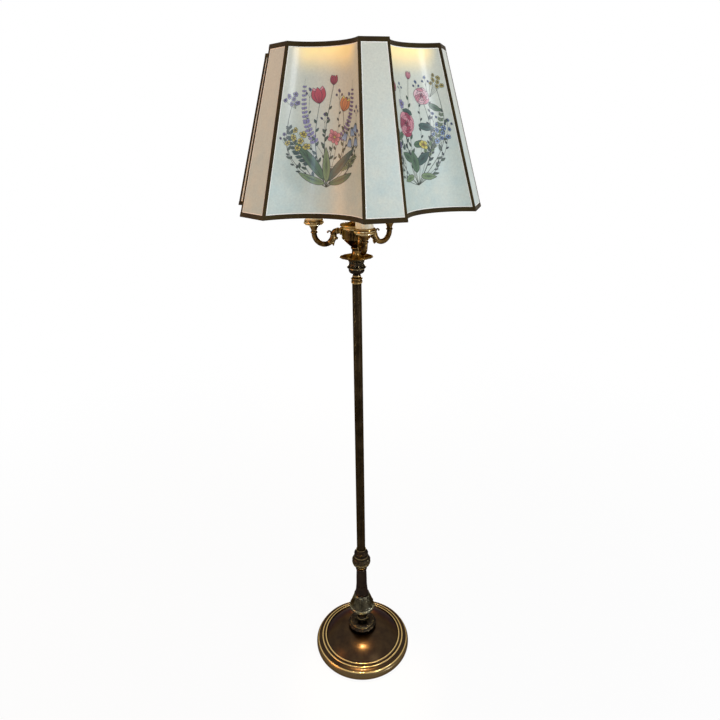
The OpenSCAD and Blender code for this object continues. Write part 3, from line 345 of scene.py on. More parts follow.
brassLooks = {
    # spun and lacquered brass gone brown: a satin sheen, its bead lines and rolled edge rubbed to gold, the
    # faint gold on the rolled edge partly a painted highlight
    "spunBrassBrown": {
        "patina": "#2B1F14", "metal": "#382A1A", "worn": spunWorn, "wear": 0, "lacquer": 0.1, "rough": 0.28,
        "pits": 0.02, "hollow": 0.006, "edge": 0.002,
        # the last ring, a faint gold band across the rolled edge, is rubbed wear and partly a painted
        # highlight
        "lines": [(0.1139, 0.002, 0.95), (0.1049, 0.0019, 0.95), (0.1262, 0.0012, 1), (0.129, 0.006, 0.11)]},
    # the turned column, darker still where no hand rubs it
    "spunBrassDark": {
        "patina": "#1A120B", "metal": "#2C2015", "worn": spunWorn, "wear": 0, "lacquer": 0.1, "rough": 0.2,
        "pits": 0.02, "hollow": 0.006, "edge": 0.002},
    # cast brass with its patina left on: near black in the hollows, gold on every ridge
    "castBrassDark": {
        "patina": "#060403", "metal": "#2C2114", "worn": "#DCC288", "wear": 1.5, "lacquer": 0.08,
        "rough": 0.2, "pits": 0.12, "hollow": 0.006, "edge": 0.001},
    # cast leaves with a grey bloom left by polish, paler on their crests
    "castBrassPale": {
        "patina": "#0E0C08", "metal": "#4A4434", "worn": "#DCD2AC", "wear": 1.8, "rough": 0.23,
        "pits": 0.2, "hollow": 0.005, "edge": 0.001},
    # arms and urn: brown gold, warm where the light runs along them
    "castBrassWarm": {
        "patina": "#140C06", "metal": "#6B512B", "worn": "#E8C482", "wear": 1.6, "rough": 0.23,
        "pits": 0.16, "hollow": 0.009, "edge": 0.0013},
    # pressed brass sheet of the pan: brown gold, dark between its petals
    "pressedBrass": {
        "patina": "#2A2012", "metal": "#927648", "worn": "#DCC490", "wear": 0.12, "rough": 0.28,
        "pits": 0.1, "hollow": 0.006, "edge": 0.0012},
    # cast brass kept bright by dusting: pale gold with brown in the folds
    "castBrassBright": {
        "patina": "#4A3114", "metal": "#C29A58", "worn": "#FBE8B4", "wear": 1.6, "rough": 0.25,
        "pits": 0.12, "hollow": 0.006, "edge": 0.0014},
    # bronzed steel tube: almost black, a little gold on the crests of its flutes
    "bronzedTube": {
        "patina": "#0E0A07", "metal": "#2C2318", "worn": "#86693C", "wear": 1.2, "rough": 0.3,
        "pits": 0.08, "hollow": 0.003, "edge": 0.0008},
}
finish = {name: agedBrass(name, look) for name, look in brassLooks.items()}


# laminated parchment: faint cloudy fibres in a pale grey-green sheet, a varnish with long soft reflections,
# and painted light that warms the sheet towards the top
paperSet = {
    "cloud": 0.035, "fibre": 0.0042, "shadow": "#B9C6BB", "light": "#CACDBB", "top": "#D0CDB8",
    "coat": 0.24, "coatRough": 0.2, "printGlow": 0.4,
}
# where the bulb in the bowl lights the shade: a warm patch high on the middle of each hollow panel
glowSet = {
    "deep": 0.07, "full": 0.01, "dimRadius": 0.2, "hotRadius": 0.166, "strength": 0.33, "inside": 0.7,
    "colour": "#FFD070", "litPaper": "#F3DDA0",
}


def lampGlow(add, place, height):
    rise = add("MapRange", [height, shadeHigh - glowSet["deep"], shadeHigh - glowSet["full"]],
               interpolation_type="SMOOTHSTEP")
    near = add("MapRange", [axisDistance(add, place), glowSet["dimRadius"], glowSet["hotRadius"]],
               interpolation_type="SMOOTHSTEP")
    return add("Math", [rise, near], operation="MULTIPLY")


# the inside of the shade is lit all over, and more so towards the bulb
def innerGlow(add, place, height):
    level = add("VectorMath", [place, (1, 1, 0)], operation="MULTIPLY")
    normal = add("NewGeometry").outputs["Normal"]
    outward = add("VectorMath", [normal, level], operation="DOT_PRODUCT")
    within = add("Math", [outward, 0.0], operation="LESS_THAN")
    climb = add("MapRange", [height, shadeLow - 0.1, shadeHigh, 0, glowSet["inside"]],
                interpolation_type="SMOOTHERSTEP")
    return add("Math", [climb, within], operation="MULTIPLY")


def parchmentPaper(name, ink=False):
    material, add = startMaterial(name)
    place = add("TexCoord").outputs["Object"]
    height = add("SeparateXYZ", {"Vector": place}).outputs["Z"]
    clouds = grainNoise(add, place, paperSet["cloud"], 5.0, 0.62)
    fibres = grainNoise(add, place, paperSet["fibre"], 5.0, 0.68)
    paper = add("ValToRGB", {"Fac": clouds}, [(0.3, paperSet["shadow"]), (0.72, paperSet["light"])])
    # painted light: the paper turns warmer and paler towards the top, as if lit by the bulb inside
    upper = add("MapRange", [height, shadeLow + 0.08, shadeHigh - 0.02, 0, 0.75],
                interpolation_type="SMOOTHSTEP")
    paper = add("Mix", [upper, paper, srgb(paperSet["top"])], data_type="RGBA")
    fleck = add("MapRange", [fibres, 0.3, 0.75, 0.86, 1.05])
    tone = add("VectorMath", [paper, fleck], operation="SCALE")
    glow = lampGlow(add, place, height)
    colour = add("Mix", [glow, tone, srgb(glowSet["litPaper"])], data_type="RGBA")
    strength = glowSet["strength"] * (paperSet["printGlow"] if ink else 1)
    gain = add("MapRange", [clouds, 0.3, 0.7, 0.7 * strength, 1.15 * strength])
    light = add("Math", [glow, gain], operation="MULTIPLY")
    if ink:
        worn = add("MapRange", [fibres, 0.62, 0.8, 0, 0.35])
        inkColour = add("Attribute", attribute_name="ink")
        colour = add("Mix", [worn, inkColour, colour], data_type="RGBA")
    else:
        light = add("Math", [light, innerGlow(add, place, height)], operation="MAXIMUM")
    bump = add("Bump", {"Height": fibres, "Strength": 0.12, "Distance": 0.0003})
    add("OutputMaterial", [add("BsdfPrincipled", {
        "Base Color": colour, "Roughness": 0.5, "Coat Weight": paperSet["coat"],
        "Coat Roughness": paperSet["coatRough"], "Normal": bump,
        "Emission Color": srgb(glowSet["colour"]), "Emission Strength": light})])
    return material


parchment = parchmentPaper("laminatedParchment")
printedParchment = parchmentPaper("printedParchment", ink=True)

# woven braid: cords less than 1 mm apart cross the tape, dark olive, its crests painted paler and the gaps
# between cords painted with shade;
# a wave at this scale gives one cord to a unit, and the UV is stretched to as many units as there are cords
braidSet = {"deep": "#35260A", "pale": "#483A14", "wave": 0.3142, "fade": 0.05}


def wovenBraid(name, cordsAlong, cordsAcross):
    material, add = startMaterial(name)
    place = add("TexCoord").outputs
    laid = add("Mapping", {"Vector": place["UV"], "Scale": (cordsAlong, cordsAcross, 1)})
    cords, cross = (
        add("TexWave", {"Vector": laid, "Scale": braidSet["wave"], "Distortion": loose, "Detail": 1.0},
            bands_direction=axis).outputs["Fac"] for axis, loose in (("X", 0.6), ("Y", 0.4)))
    weave = add("Math", [cords, cross], operation="MULTIPLY")
    fade = grainNoise(add, place["Object"], braidSet["fade"])
    dye = add("ValToRGB", {"Fac": fade}, [(0.35, braidSet["deep"]), (0.7, braidSet["pale"])])
    # painted shade: the colour darkens in the gaps between the cords and pales on their crests
    weaveShade = add("MapRange", [weave, 0, 1, 0.45, 1.25])
    colour = add("VectorMath", [dye, weaveShade], operation="SCALE")
    bump = add("Bump", {"Height": weave, "Strength": 0.5, "Distance": 0.0004})
    add("OutputMaterial", [add("BsdfPrincipled", {
        "Base Color": colour, "Roughness": 0.75, "Specular IOR Level": 0.15, "Sheen Weight": 0.03,
        "Sheen Roughness": 0.4, "Normal": bump})])
    return material


edgeBraid = wovenBraid("wovenBraidEdge", 2600, 34)
ribBraid = wovenBraid("wovenBraidRib", 26, 380)


# a plain stuff with a soft mottle: what it is and how it was made is in its look
def plainStuff(name, look):
    material, add = startMaterial(name)
    place = add("TexCoord").outputs["Object"]
    mottle = grainNoise(add, place, look["grain"], 4.0, 0.6)
    tone = add("ValToRGB", {"Fac": mottle}, [(0.32, look["dark"]), (0.68, look["light"])])
    finer = grainNoise(add, place, look["grain"] / 12, 2.0)
    rough = add("MapRange", [mottle, 0, 1, look["rough"] - 0.06, look["rough"] + 0.06])
    bump = add("Bump", {"Height": finer, "Strength": look["bump"], "Distance": 0.0003})
    add("OutputMaterial", [add("BsdfPrincipled", {
        "Base Color": tone, "Roughness": rough, "Normal": bump, "Metallic": look.get("metallic", 0.0),
        "Coat Weight": look.get("coat", 0.0), "Coat Roughness": 0.1, "Sheen Weight": look.get("sheen", 0.0),
        "Subsurface Weight": look.get("depth", 0.0), "Subsurface Radius": (0.004, 0.003, 0.002),
        "Emission Color": srgb(lampWarm), "Emission Strength": look.get("glow", 0.0)})])
    return material


lampWarm = "#FFC878"
stuffs = {
    # ivory candle tubes: moulded, a little yellowed, with a wax-like depth
    "ivorySleeve": {"dark": "#E4D7B4", "light": "#F1E8CF", "grain": 0.012, "rough": 0.38, "bump": 0.06,
                    "depth": 0.15},
    # opal glass: cased white glass, glossy, with a milky depth, and a faint painted glow of the bulb's light
    # through it
    "opalGlass": {"dark": "#D2C9B2", "light": "#DED6C2", "grain": 0.05, "rough": 0.12, "bump": 0.0,
                  "coat": 0.5, "depth": 0.3, "glow": 0.16},
    # frosted lamp glass, warm from the filament
    "frostedGlass": {"dark": "#D8CBAE", "light": "#E4D9C0", "grain": 0.02, "rough": 0.26, "bump": 0.02,
                     "depth": 0.2, "glow": 0.12},
    # glazed porcelain of the mogul socket
    "glazedPorcelain": {"dark": "#E9E6DC", "light": "#F4F2EA", "grain": 0.03, "rough": 0.14, "bump": 0.0,
                        "coat": 0.5},
    # zinc plated steel of pipe, nuts and washer
    "zincSteel": {"dark": "#8D9096", "light": "#B4B6B8", "grain": 0.004, "rough": 0.34, "bump": 0.1,
                  "metallic": 1.0},
    # rough cast iron of the ballast
    "castIron": {"dark": "#2A2A2B", "light": "#454342", "grain": 0.003, "rough": 0.6, "bump": 0.6,
                 "metallic": 1.0},
    # green wool felt under the base
    "greenFelt": {"dark": "#20301F", "light": "#31472E", "grain": 0.0015, "rough": 0.95, "bump": 0.8,
                  "sheen": 0.5},
    # brown moulded plastic of the bushing
    "bushingPlastic": {"dark": "#3A2415", "light": "#4A3020", "grain": 0.006, "rough": 0.4, "bump": 0.05},
    # cork and rubber ring under the bowl
    "corkRing": {"dark": "#6A4A2E", "light": "#94704A", "grain": 0.0018, "rough": 0.85, "bump": 0.6},
    # brassed steel wire of the shade frame
    "brassedWire": {"dark": "#8A6A34", "light": "#B08B48", "grain": 0.01, "rough": 0.32, "bump": 0.05,
                    "metallic": 1.0},
    # lacquered brass of lamp caps and socket shells
    "lampCapBrass": {"dark": "#B08A44", "light": "#CFAB62", "grain": 0.006, "rough": 0.26, "bump": 0.05,
                     "metallic": 1.0},
    # black moulded socket bodies
    "blackPlastic": {"dark": "#17161A", "light": "#242226", "grain": 0.005, "rough": 0.42, "bump": 0.08},
    # ivory piping ribbon that shows along the tape
    "pipingRibbon": {"dark": "#F0EAD8", "light": "#FBF7EA", "grain": 0.0012, "rough": 0.8, "bump": 0.4,
                     "sheen": 0.2},
}
finish.update({name: plainStuff(name, look) for name, look in stuffs.items()})
print("finishes made")


# shade panels: sheets of parchment paper, each hollow one bent to its arc
for k in range(6):
    def panelRule(across, up, k=k):
        z = shadeLow + shadeHeight * up
        return onHollow(k, z, paperHalf(z) * (2 * across - 1))

    panel = laySheet(f"hollowPaper{k + 1}", shadeSet["across"], shadeSet["up"], panelRule, shadeSet["paper"])
    fitPiece(panel, "shade", parchment, "parchment", f"hollow_panel_{k + 1}")
print("hollow panels laid")


# tape bound over the edges and ribs of the shade, woven, with a narrow ivory piping under it: each has its
# lift off the paper and its thickness, and on the ribs how far it stops from the edges
tapeSet = {
    "width": 0.009, "fold": 0.0042, "edgeTape": (0.0003, 0.0007), "ribTape": (0.00022, 0.0007, 0.0062),
    "piping": 0.0018, "edgePiping": (0.00005, 0.00022), "ribPiping": (0.00003, 0.0002, 0.004),
    "flatStations": 6, "arcStations": 44, "ribStations": 24,
}


# stations round the outline: each gives its place for a height and a distance out
def outlineStations():
    flat, arc = tapeSet["flatStations"], tapeSet["arcStations"]
    stations = []
    for k in range(6):
        stations.append(lambda z, out, k=k: onCorner(k, -1, z, out))
        for j in range(1, flat):
            stations.append(lambda z, out, k=k, j=j: onFlat(k, z, flatWidth(z) * (2 * j / flat - 1), out))
        stations.append(lambda z, out, k=k: onCorner(k, 1, z, out))
        for j in range(1, arc):
            stations.append(lambda z, out, k=k, j=j: onHollow(k, z, paperHalf(z) * (2 * j / arc - 1), out))
    return stations + stations[:1]


stations = outlineStations()


# edge tape as a closed band: a soft pillowed face outside, folded round the panel's edge to the inside
def edgeTape(name, edge, inward, width, lift, thick):
    soft = 0.25 * thick
    inner = -shadeSet["paper"] - 0.00005
    folded = inner - 0.00025
    top = lift + thick
    section = [
        (lift, width), (lift + soft, width + soft), (top - soft, width), (top, width - 0.4 * thick),
        (top + 0.12 * thick, 0.75 * width), (top + 0.16 * thick, 0.5 * width),
        (top + 0.12 * thick, 0.25 * width), (top, 0.3 * thick), (lift + 0.5 * thick, -0.55 * thick),
        (0.4 * inner, -0.85 * thick), (inner - 0.0001, -0.6 * thick), (folded, 0.0004),
        (folded, tapeSet["fold"]), (inner, tapeSet["fold"]), (inner, -0.0001), (lift, -0.0001), (lift, width)]

    def rule(across, up):
        place = stations[round(across * (len(stations) - 1))]
        out, rise = section[round(up * (len(section) - 1))]
        return place(edge + inward * rise, out)

    return laySheet(name, len(stations) - 1, len(section) - 1, rule, closed=True)


# rib tape: bent over a corner of the outline, part on the flat panel and part on the hollow one
def ribTape(name, k, side, width, lift, thick, ends):
    low, high = shadeLow + ends, shadeHigh - ends

    def place(part, z, out):
        kind, far = part
        if kind == "flat":
            return onFlat(k, z, side * (flatWidth(z) - far), out)
        if kind == "hollow":
            return onHollow(k if side > 0 else k - 1, z, -side * (arcHalf - far / arcRadius(z)), out)
        return onCorner(k, side, z, out)

    reach = [width / 2 * share for share in (1, 0.8, 0.5, 0.18)]
    across = [("flat", far) for far in reach] + [("corner", 0)] + [("hollow", far) for far in reversed(reach)]
    crown = [0.75, 1.05, 1.15, 1.1, 0.8, 1.1, 1.15, 1.05, 0.75]
    section = [(part, lift + thick * c) for part, c in zip(across, crown)]
    section += [(part, lift) for part in reversed(across)] + section[:1]

    def rule(share, up):
        part, out = section[round(share * (len(section) - 1))]
        return place(part, low + (high - low) * up, out)

    return laySheet(name, len(section) - 1, tapeSet["ribStations"], rule, closed=True)


tapeWidth = tapeSet["width"]
ribPipingWidth = tapeWidth + 2 * tapeSet["piping"]
for name, edge, inward in (("lower", shadeLow, 1), ("upper", shadeHigh, -1)):
    piping = edgeTape(name + "Piping", edge, inward, tapeWidth + tapeSet["piping"], *tapeSet["edgePiping"])
    fitPiece(piping, "shade", finish["pipingRibbon"], "tape")
    band = edgeTape(name + "Tape", edge, inward, tapeWidth, *tapeSet["edgeTape"])
    fitPiece(band, "shade", edgeBraid, "tape", "edge_trims")
for k in range(6):
    for side, hand in ((-1, "Left"), (1, "Right")):
        piping = ribTape(f"ribPiping{k + 1}{hand}", k, side, ribPipingWidth, *tapeSet["ribPiping"])
        fitPiece(piping, "shade", finish["pipingRibbon"], "tape")
        band = ribTape(f"ribTape{k + 1}{hand}", k, side, tapeWidth, *tapeSet["ribTape"])
        fitPiece(band, "shade", ribBraid, "tape", "rib_trims")
print("tape bound on")


# a printed spray of garden flowers on each hollow panel: flat shapes a hair above the paper, drawn in
# millimetres from the panel's middle; each ink has a tone for the heart of a shape and one for its edge
inkSet = {
    "line": "#1E1C24", "lineWidth": 0.95, "vein": 0.22, "rise": 0.00003, "layer": 0.000001,
    "broad": 1.26, "tall": 1.16,
}
inks = {
    "yellow": ("#8E7A2C", "#CFC262"), "red": ("#6E1C2A", "#AE4650"), "pink": ("#8A4252", "#C8868C"),
    "crimson": ("#561A2C", "#96384E"), "pale": ("#B07A84", "#D8B4B2"), "blue": ("#46628E", "#8EA8C4"),
    "lavender": ("#585482", "#9A92B4"), "violet": ("#46385C", "#7E6E98"), "orange": ("#8C4626", "#C08050"),
    "leaf": ("#22362C", "#4E6A4C"), "deepLeaf": ("#182A26", "#38544C"), "paleLeaf": ("#384E36", "#788C62"),
    "stem": ("#28321F", "#4A5838"),
}


def turned(point, angle):
    c, s = cos(angle), sin(angle)
    return (c * point[0] - s * point[1], s * point[0] + c * point[1])


def shifted(at, point, angle=0.0):
    x, y = turned(point, angle)
    return (at[0] + x, at[1] + y)


def reached(at, far, angle):
    return shifted(at, (far, 0), angle)


def bow(start, end, bend, steps=14):
    dx, dy = end[0] - start[0], end[1] - start[1]
    shares = [i / steps for i in range(steps + 1)]
    return [(start[0] + dx * t - dy * bend * sin(pi * t),
             start[1] + dy * t + dx * bend * sin(pi * t)) for t in shares]


# a place on a stem and the angle it grows at there
def growth(path, i):
    (x, y), (nextX, nextY) = path[i], path[i + 1]
    return (x, y), atan2(nextY - y, nextX - x)


# one sheet of print is a dictionary of points, their ink and the faces between them
def blankSheet():
    return {"points": [], "colours": [], "faces": [], "depth": 0}


def putPoints(sheet, points, colours, lift=0.0):
    first = len(sheet["points"])
    sheet["points"] += [(inkSet["broad"] * x, inkSet["tall"] * y, sheet["depth"] + lift) for x, y in points]
    sheet["colours"] += colours
    return first


# a pen line through the points, half a layer over the shape before it; a tapered one, a stem, starts a layer
def drawLine(sheet, path, width, ink=None, taper=False):
    sheet["depth"] += 0.7 if taper else 0
    colour = srgb(inks[ink][0] if ink else inkSet["line"])
    sides = []
    for i, (x, y) in enumerate(path):
        ahead, behind = path[min(i + 1, len(path) - 1)], path[max(i - 1, 0)]
        dx, dy = ahead[0] - behind[0], ahead[1] - behind[1]
        half = width / 2 * (1 - 0.55 * i / max(len(path) - 1, 1) if taper else 1)
        half /= hypot(dx, dy) or 1
        sides += [(x - dy * half, y + dx * half), (x + dy * half, y - dx * half)]
    first = putPoints(sheet, sides, [colour] * len(sides), 0.0 if taper else 0.5)
    sheet["faces"] += [(a + 1, a + 3, a + 2, a) for a in range(first, first + len(sides) - 2, 2)]


# a filled shape, its ink running from the heart to the edge, with a pen line round it
def fillShape(sheet, edge, ink, pen=1.0, heart=None):
    sheet["depth"] += 1
    n = len(edge)
    centre = heart or (sum(x for x, y in edge) / n, sum(y for x, y in edge) / n)
    middle = [((x + centre[0]) / 2, (y + centre[1]) / 2) for x, y in edge]
    inner, outer = srgb(inks[ink][0]), srgb(inks[ink][1])
    blend = tuple((a + 2 * b) / 3 for a, b in zip(inner, outer))
    hub = putPoints(sheet, [centre], [inner])
    ring = putPoints(sheet, middle, [blend] * n)
    rim = putPoints(sheet, edge, [outer] * n)
    for i in range(n):
        j = (i + 1) % n
        sheet["faces"] += [(hub, ring + i, ring + j), (ring + i, rim + i, rim + j, ring + j)]
    drawLine(sheet, edge + edge[:2], inkSet["lineWidth"] * pen)


# petal or leaf outline from its foot: fullest is where it is widest, notch dents its tip, wave frills it
def bladeOutline(at, length, width, angle, fullest=0.6, notch=0.0, steps=8, wave=0.0):
    side = []
    for i in range(steps + 1):
        t = i / steps
        half = sin(pi * t ** (log(0.5) / log(fullest))) ** 0.8 * (1 + wave * sin(13 * t))
        side.append((length * t - (notch * length if i == steps else 0), width / 2 * half))
    return [shifted(at, p, angle) for p in side + [(x, -y) for x, y in reversed(side[1:-1])]]


# open blossom seen a little from the side, so it is squeezed across its lean
def drawBlossom(sheet, at, size, petals, ink, heartInk="yellow", turn=0.0, width=0.6, fullest=0.68,
                notch=0.06, squeeze=0.82, lean=0.6):
    def squeezed(points):
        flat = [turned((x - at[0], y - at[1]), -lean) for x, y in points]
        return [shifted(at, (x * squeeze, y), lean) for x, y in flat]

    for i in sorted(range(petals), key=lambda j: (5 * j) % petals):
        angle = turn + 2 * pi * i / petals + 0.08 * sin(7 * i + turn)
        far = size * (0.92 + 0.12 * sin(3 * i + 5 * turn))
        petal = bladeOutline(at, far, size * width, angle, fullest, notch, wave=0.05)
        fillShape(sheet, squeezed(petal), ink, 0.7, heart=reached(at, 0.22 * size, angle))
        for spread in (-0.2, -0.08, 0.06, 0.19):
            start = reached(at, 0.26 * size, angle + 0.5 * spread)
            end = reached(at, (0.62 + spread) * far, angle + spread)
            drawLine(sheet, squeezed([start, end]), 0.2, ink)
    ring = [reached(at, 0.15 * size, 2 * pi * j / 10) for j in range(10)]
    fillShape(sheet, squeezed(ring), heartInk, 0.7)
    for j in range(12):
        dot = reached(at, 0.045 * size * sqrt(j + 1), 2.4 * j)
        drawLine(sheet, [dot, shifted(dot, (0.3, 0.1))], 0.28)


# full rose: rings of frilled petals that turn in on themselves
def drawRose(sheet, at, size, ink, innerInk, turn=0.0):
    rings = ((7, 1.0, 0.95), (6, 0.74, 0.82), (5, 0.5, 0.6), (3, 0.3, 0.4))
    for layer, (count, far, broad) in enumerate(rings):
        for i in range(count):
            angle = turn + layer * 0.55 + 2 * pi * i / count
            grow = far * size * (1 + 0.08 * sin(4 * i + layer))
            root = reached(at, 0.08 * size, angle + 0.8)
            petal = bladeOutline(root, grow, broad * size, angle, 0.72, 0.05, wave=0.07)
            fillShape(sheet, petal, ink if (layer + i) % 2 else innerInk, 0.75, heart=at)
            for spread in (-0.2, 0.0, 0.18):
                near = reached(root, 0.5 * grow, angle + spread)
                end = reached(root, 0.86 * grow, angle + 1.2 * spread)
                drawLine(sheet, bow(near, end, 0.1, 3), inkSet["vein"], ink)


def drawTulip(sheet, at, size, angle, ink, innerInk):
    for side, far, tone in (
            (-0.3, 0.96, innerInk), (0.3, 0.96, innerInk), (-0.42, 0.86, ink), (0.42, 0.86, ink),
            (0.04, 0.9, ink)):
        petal = bladeOutline(at, size * far, size * 0.4, angle + side, 0.52, wave=0.03)
        fillShape(sheet, petal, tone, 0.8, heart=at)
        for spread in (-0.12, 0.0, 0.1):
            along = angle + side + spread
            vein = bow(reached(at, 0.2 * size, along), reached(at, 0.72 * size, along), 0.04, 4)
            drawLine(sheet, vein, inkSet["vein"], ink)


# hanging bell with a scalloped hem
def drawBell(sheet, at, size, angle, ink):
    side = [(0, 0.06), (0.12, 0.2), (0.45, 0.27), (0.8, 0.34), (1.0, 0.46), (0.86, 0.3), (1.04, 0.15)]
    shape = [(x, -y) for x, y in side] + [(0.88, 0.0)] + side[::-1]
    fillShape(sheet, [shifted(at, (x * size, y * size), angle) for x, y in shape], ink, 0.8, heart=at)
    for lean in (-0.2, -0.07, 0.07, 0.2):
        vein = [shifted(at, (size * x, size * lean * (0.5 + x)), angle) for x in (0.15, 0.8)]
        drawLine(sheet, vein, 0.2, ink)
    fillShape(sheet, bladeOutline(at, 0.24 * size, 0.24 * size, angle, 0.4, steps=4), "leaf", 0.6)


# leaf with a midrib and side veins, its edge toothed
def drawLeaf(sheet, at, length, width, angle, ink="leaf", bend=0.0, wave=0.0):
    edge = bladeOutline(at, length, width, angle, 0.42, steps=14, wave=wave)
    edge = [shifted(p, (0, bend * dist(p, at) ** 2 / length), angle) for p in edge]
    fillShape(sheet, edge, ink, 0.8)
    tip = edge[14]
    dx, dy = tip[0] - at[0], tip[1] - at[1]
    along = atan2(dy, dx)
    drawLine(sheet, bow(at, tip, -0.12 * bend), 0.32)
    for i in range(1, 7):
        root = (at[0] + dx * i / 8, at[1] + dy * i / 8)
        for side in (-0.3, 0.3):
            end = shifted(root, (0.12 * length, side * width * sin(pi * (i + 1) / 9)), along)
            drawLine(sheet, [root, end], 0.18)


# fern or spike: small blades in pairs along a bowed stem
def drawSpray(sheet, start, end, bend, pairs, size, ink, lean=0.75, fill=0.45, width=0.7):
    path = bow(start, end, bend, 40)
    drawLine(sheet, path, width, "stem", taper=True)
    for i in range(pairs):
        share = 0.25 + 0.75 * i / pairs
        at, along = growth(path, int(38 * share))
        length, broad = size * (1.15 - 0.7 * share), size * fill * (1.1 - 0.5 * share)
        for side in (-lean, lean):
            fillShape(sheet, bladeOutline(at, length, broad, along + side, 0.5, steps=4), ink, 0.5)


# stem with a few small leaves growing off it in turn
def drawStem(sheet, start, end, bend, width=1.0, leaves=0, leafSize=9, ink="leaf"):
    path = bow(start, end, bend, 30)
    drawLine(sheet, path, width, "stem", taper=True)
    drawLine(sheet, [(x + 0.35 * width, y) for x, y in path], 0.22)
    for i in range(leaves):
        share = 0.34 + 0.56 * i / leaves
        at, along = growth(path, int(29 * share))
        side = 1 if i % 2 else -1
        length = leafSize * (1.2 - 0.5 * share)
        drawLeaf(sheet, at, length, leafSize * 0.4, along + side * 0.85, ink, -0.2 * side)


# loose head of small stars on thread stems
def drawHead(sheet, at, spread, count, size, ink, foot, petals=5):
    places = [reached(at, spread * sqrt((i + 0.4) / count), 2.4 * i) for i in range(count)]
    for i, place in enumerate(places):
        drawLine(sheet, bow(foot, place, 0.05 * sin(5 * i), 6), 0.35, "stem")
    for i, place in enumerate(places):
        across = size * (0.9 + 0.2 * sin(3 * i))
        drawBlossom(sheet, place, across, petals, ink, turn=0.9 * i, width=0.72, lean=0.4 * i)


# fine stems of grass and buds that fill out a bunch
def drawWisps(sheet, root, ends, ink, budInk):
    for i, end in enumerate(ends):
        drawStem(sheet, root, end, -0.002 * (end[0] - root[0]), 0.6, 7, 6.5, ink)
        drawBlossom(sheet, end, 3.6, 5, budInk, turn=i, width=0.7)
        for side in (-1, 1):
            tip = shifted(end, (side * 5.5, -6.5))
            drawLine(sheet, bow(shifted(end, (0, -15)), tip, 0.1 * side, 5), 0.35, "stem")
            drawBlossom(sheet, tip, 2.6, 4, budInk, turn=i + side, width=0.8)


# the bigger stems of a bunch; those with an odd number of leaves take the second ink
def drawStems(sheet, root, stems, leafSize=9, oddInk="leaf"):
    for end, bend, leaves in stems:
        drawStem(sheet, root, end, bend, 1.0, leaves, leafSize, oddInk if leaves % 2 else "leaf")


def drawLeaves(sheet, leaves):
    for at, length, width, angle, ink, *shape in leaves:
        drawLeaf(sheet, at, length, width, radians(angle), ink, *shape)


# tulips over a fern, with bluebells and buttercups
def tulipSpray(sheet):
    root = (4, -98)
    ends = [(-66, -8), (-30, 66), (-2, 24), (24, 62), (46, 56), (68, -4), (66, 34)]
    drawWisps(sheet, root, ends, "leaf", "lavender")
    drawSpray(sheet, (2, -70), (-62, 14), 0.14, 20, 13, "deepLeaf", 0.9, 0.32)
    drawSpray(sheet, (4, -62), (64, -40), -0.16, 16, 11, "paleLeaf", 0.9, 0.34)
    drawSpray(sheet, (2, -50), (-40, 84), 0.1, 15, 8.5, "lavender", 0.95, 0.62, 0.5)
    drawSpray(sheet, (6, -40), (56, 78), -0.12, 14, 8, "violet", 1.0, 0.62, 0.5)
    drawStems(sheet, root, [
        ((-12, 44), 0.08, 6), ((32, 30), -0.1, 6), ((12, 72), 0.05, 7), ((-34, -24), 0.16, 3),
        ((52, 2), -0.2, 5), ((-58, 44), 0.2, 5), ((16, -14), 0.03, 4)])
    drawLeaves(sheet, [
        ((0, -86), 82, 15, 118, "leaf", 0.16), ((6, -88), 74, 14, 58, "deepLeaf", -0.18),
        ((2, -92), 44, 12, 166, "paleLeaf", -0.2), ((8, -92), 46, 12, 14, "leaf", 0.2),
        ((4, -90), 60, 12, 90, "paleLeaf", 0.04)])
    for i, bell in enumerate(((52, 2), (62, -14), (48, -16), (64, 8), (40, -6))):
        drawLine(sheet, bow((44, 0), bell, -0.2, 6), 0.5, "stem")
        drawBell(sheet, bell, 15, radians(-82 - 9 * i), "blue")
    drawHead(sheet, (-44, -20), 20, 7, 7.5, "yellow", (-26, -46))
    drawHead(sheet, (-60, 50), 13, 6, 5.5, "lavender", (-52, 34))
    drawTulip(sheet, (-12, 42), 31, radians(100), "red", "pink")
    drawTulip(sheet, (32, 28), 27, radians(70), "orange", "yellow")
    drawTulip(sheet, (12, 72), 18, radians(86), "crimson", "red")
    drawBlossom(sheet, (16, -14), 15, 8, "pink", turn=0.4, width=0.5)


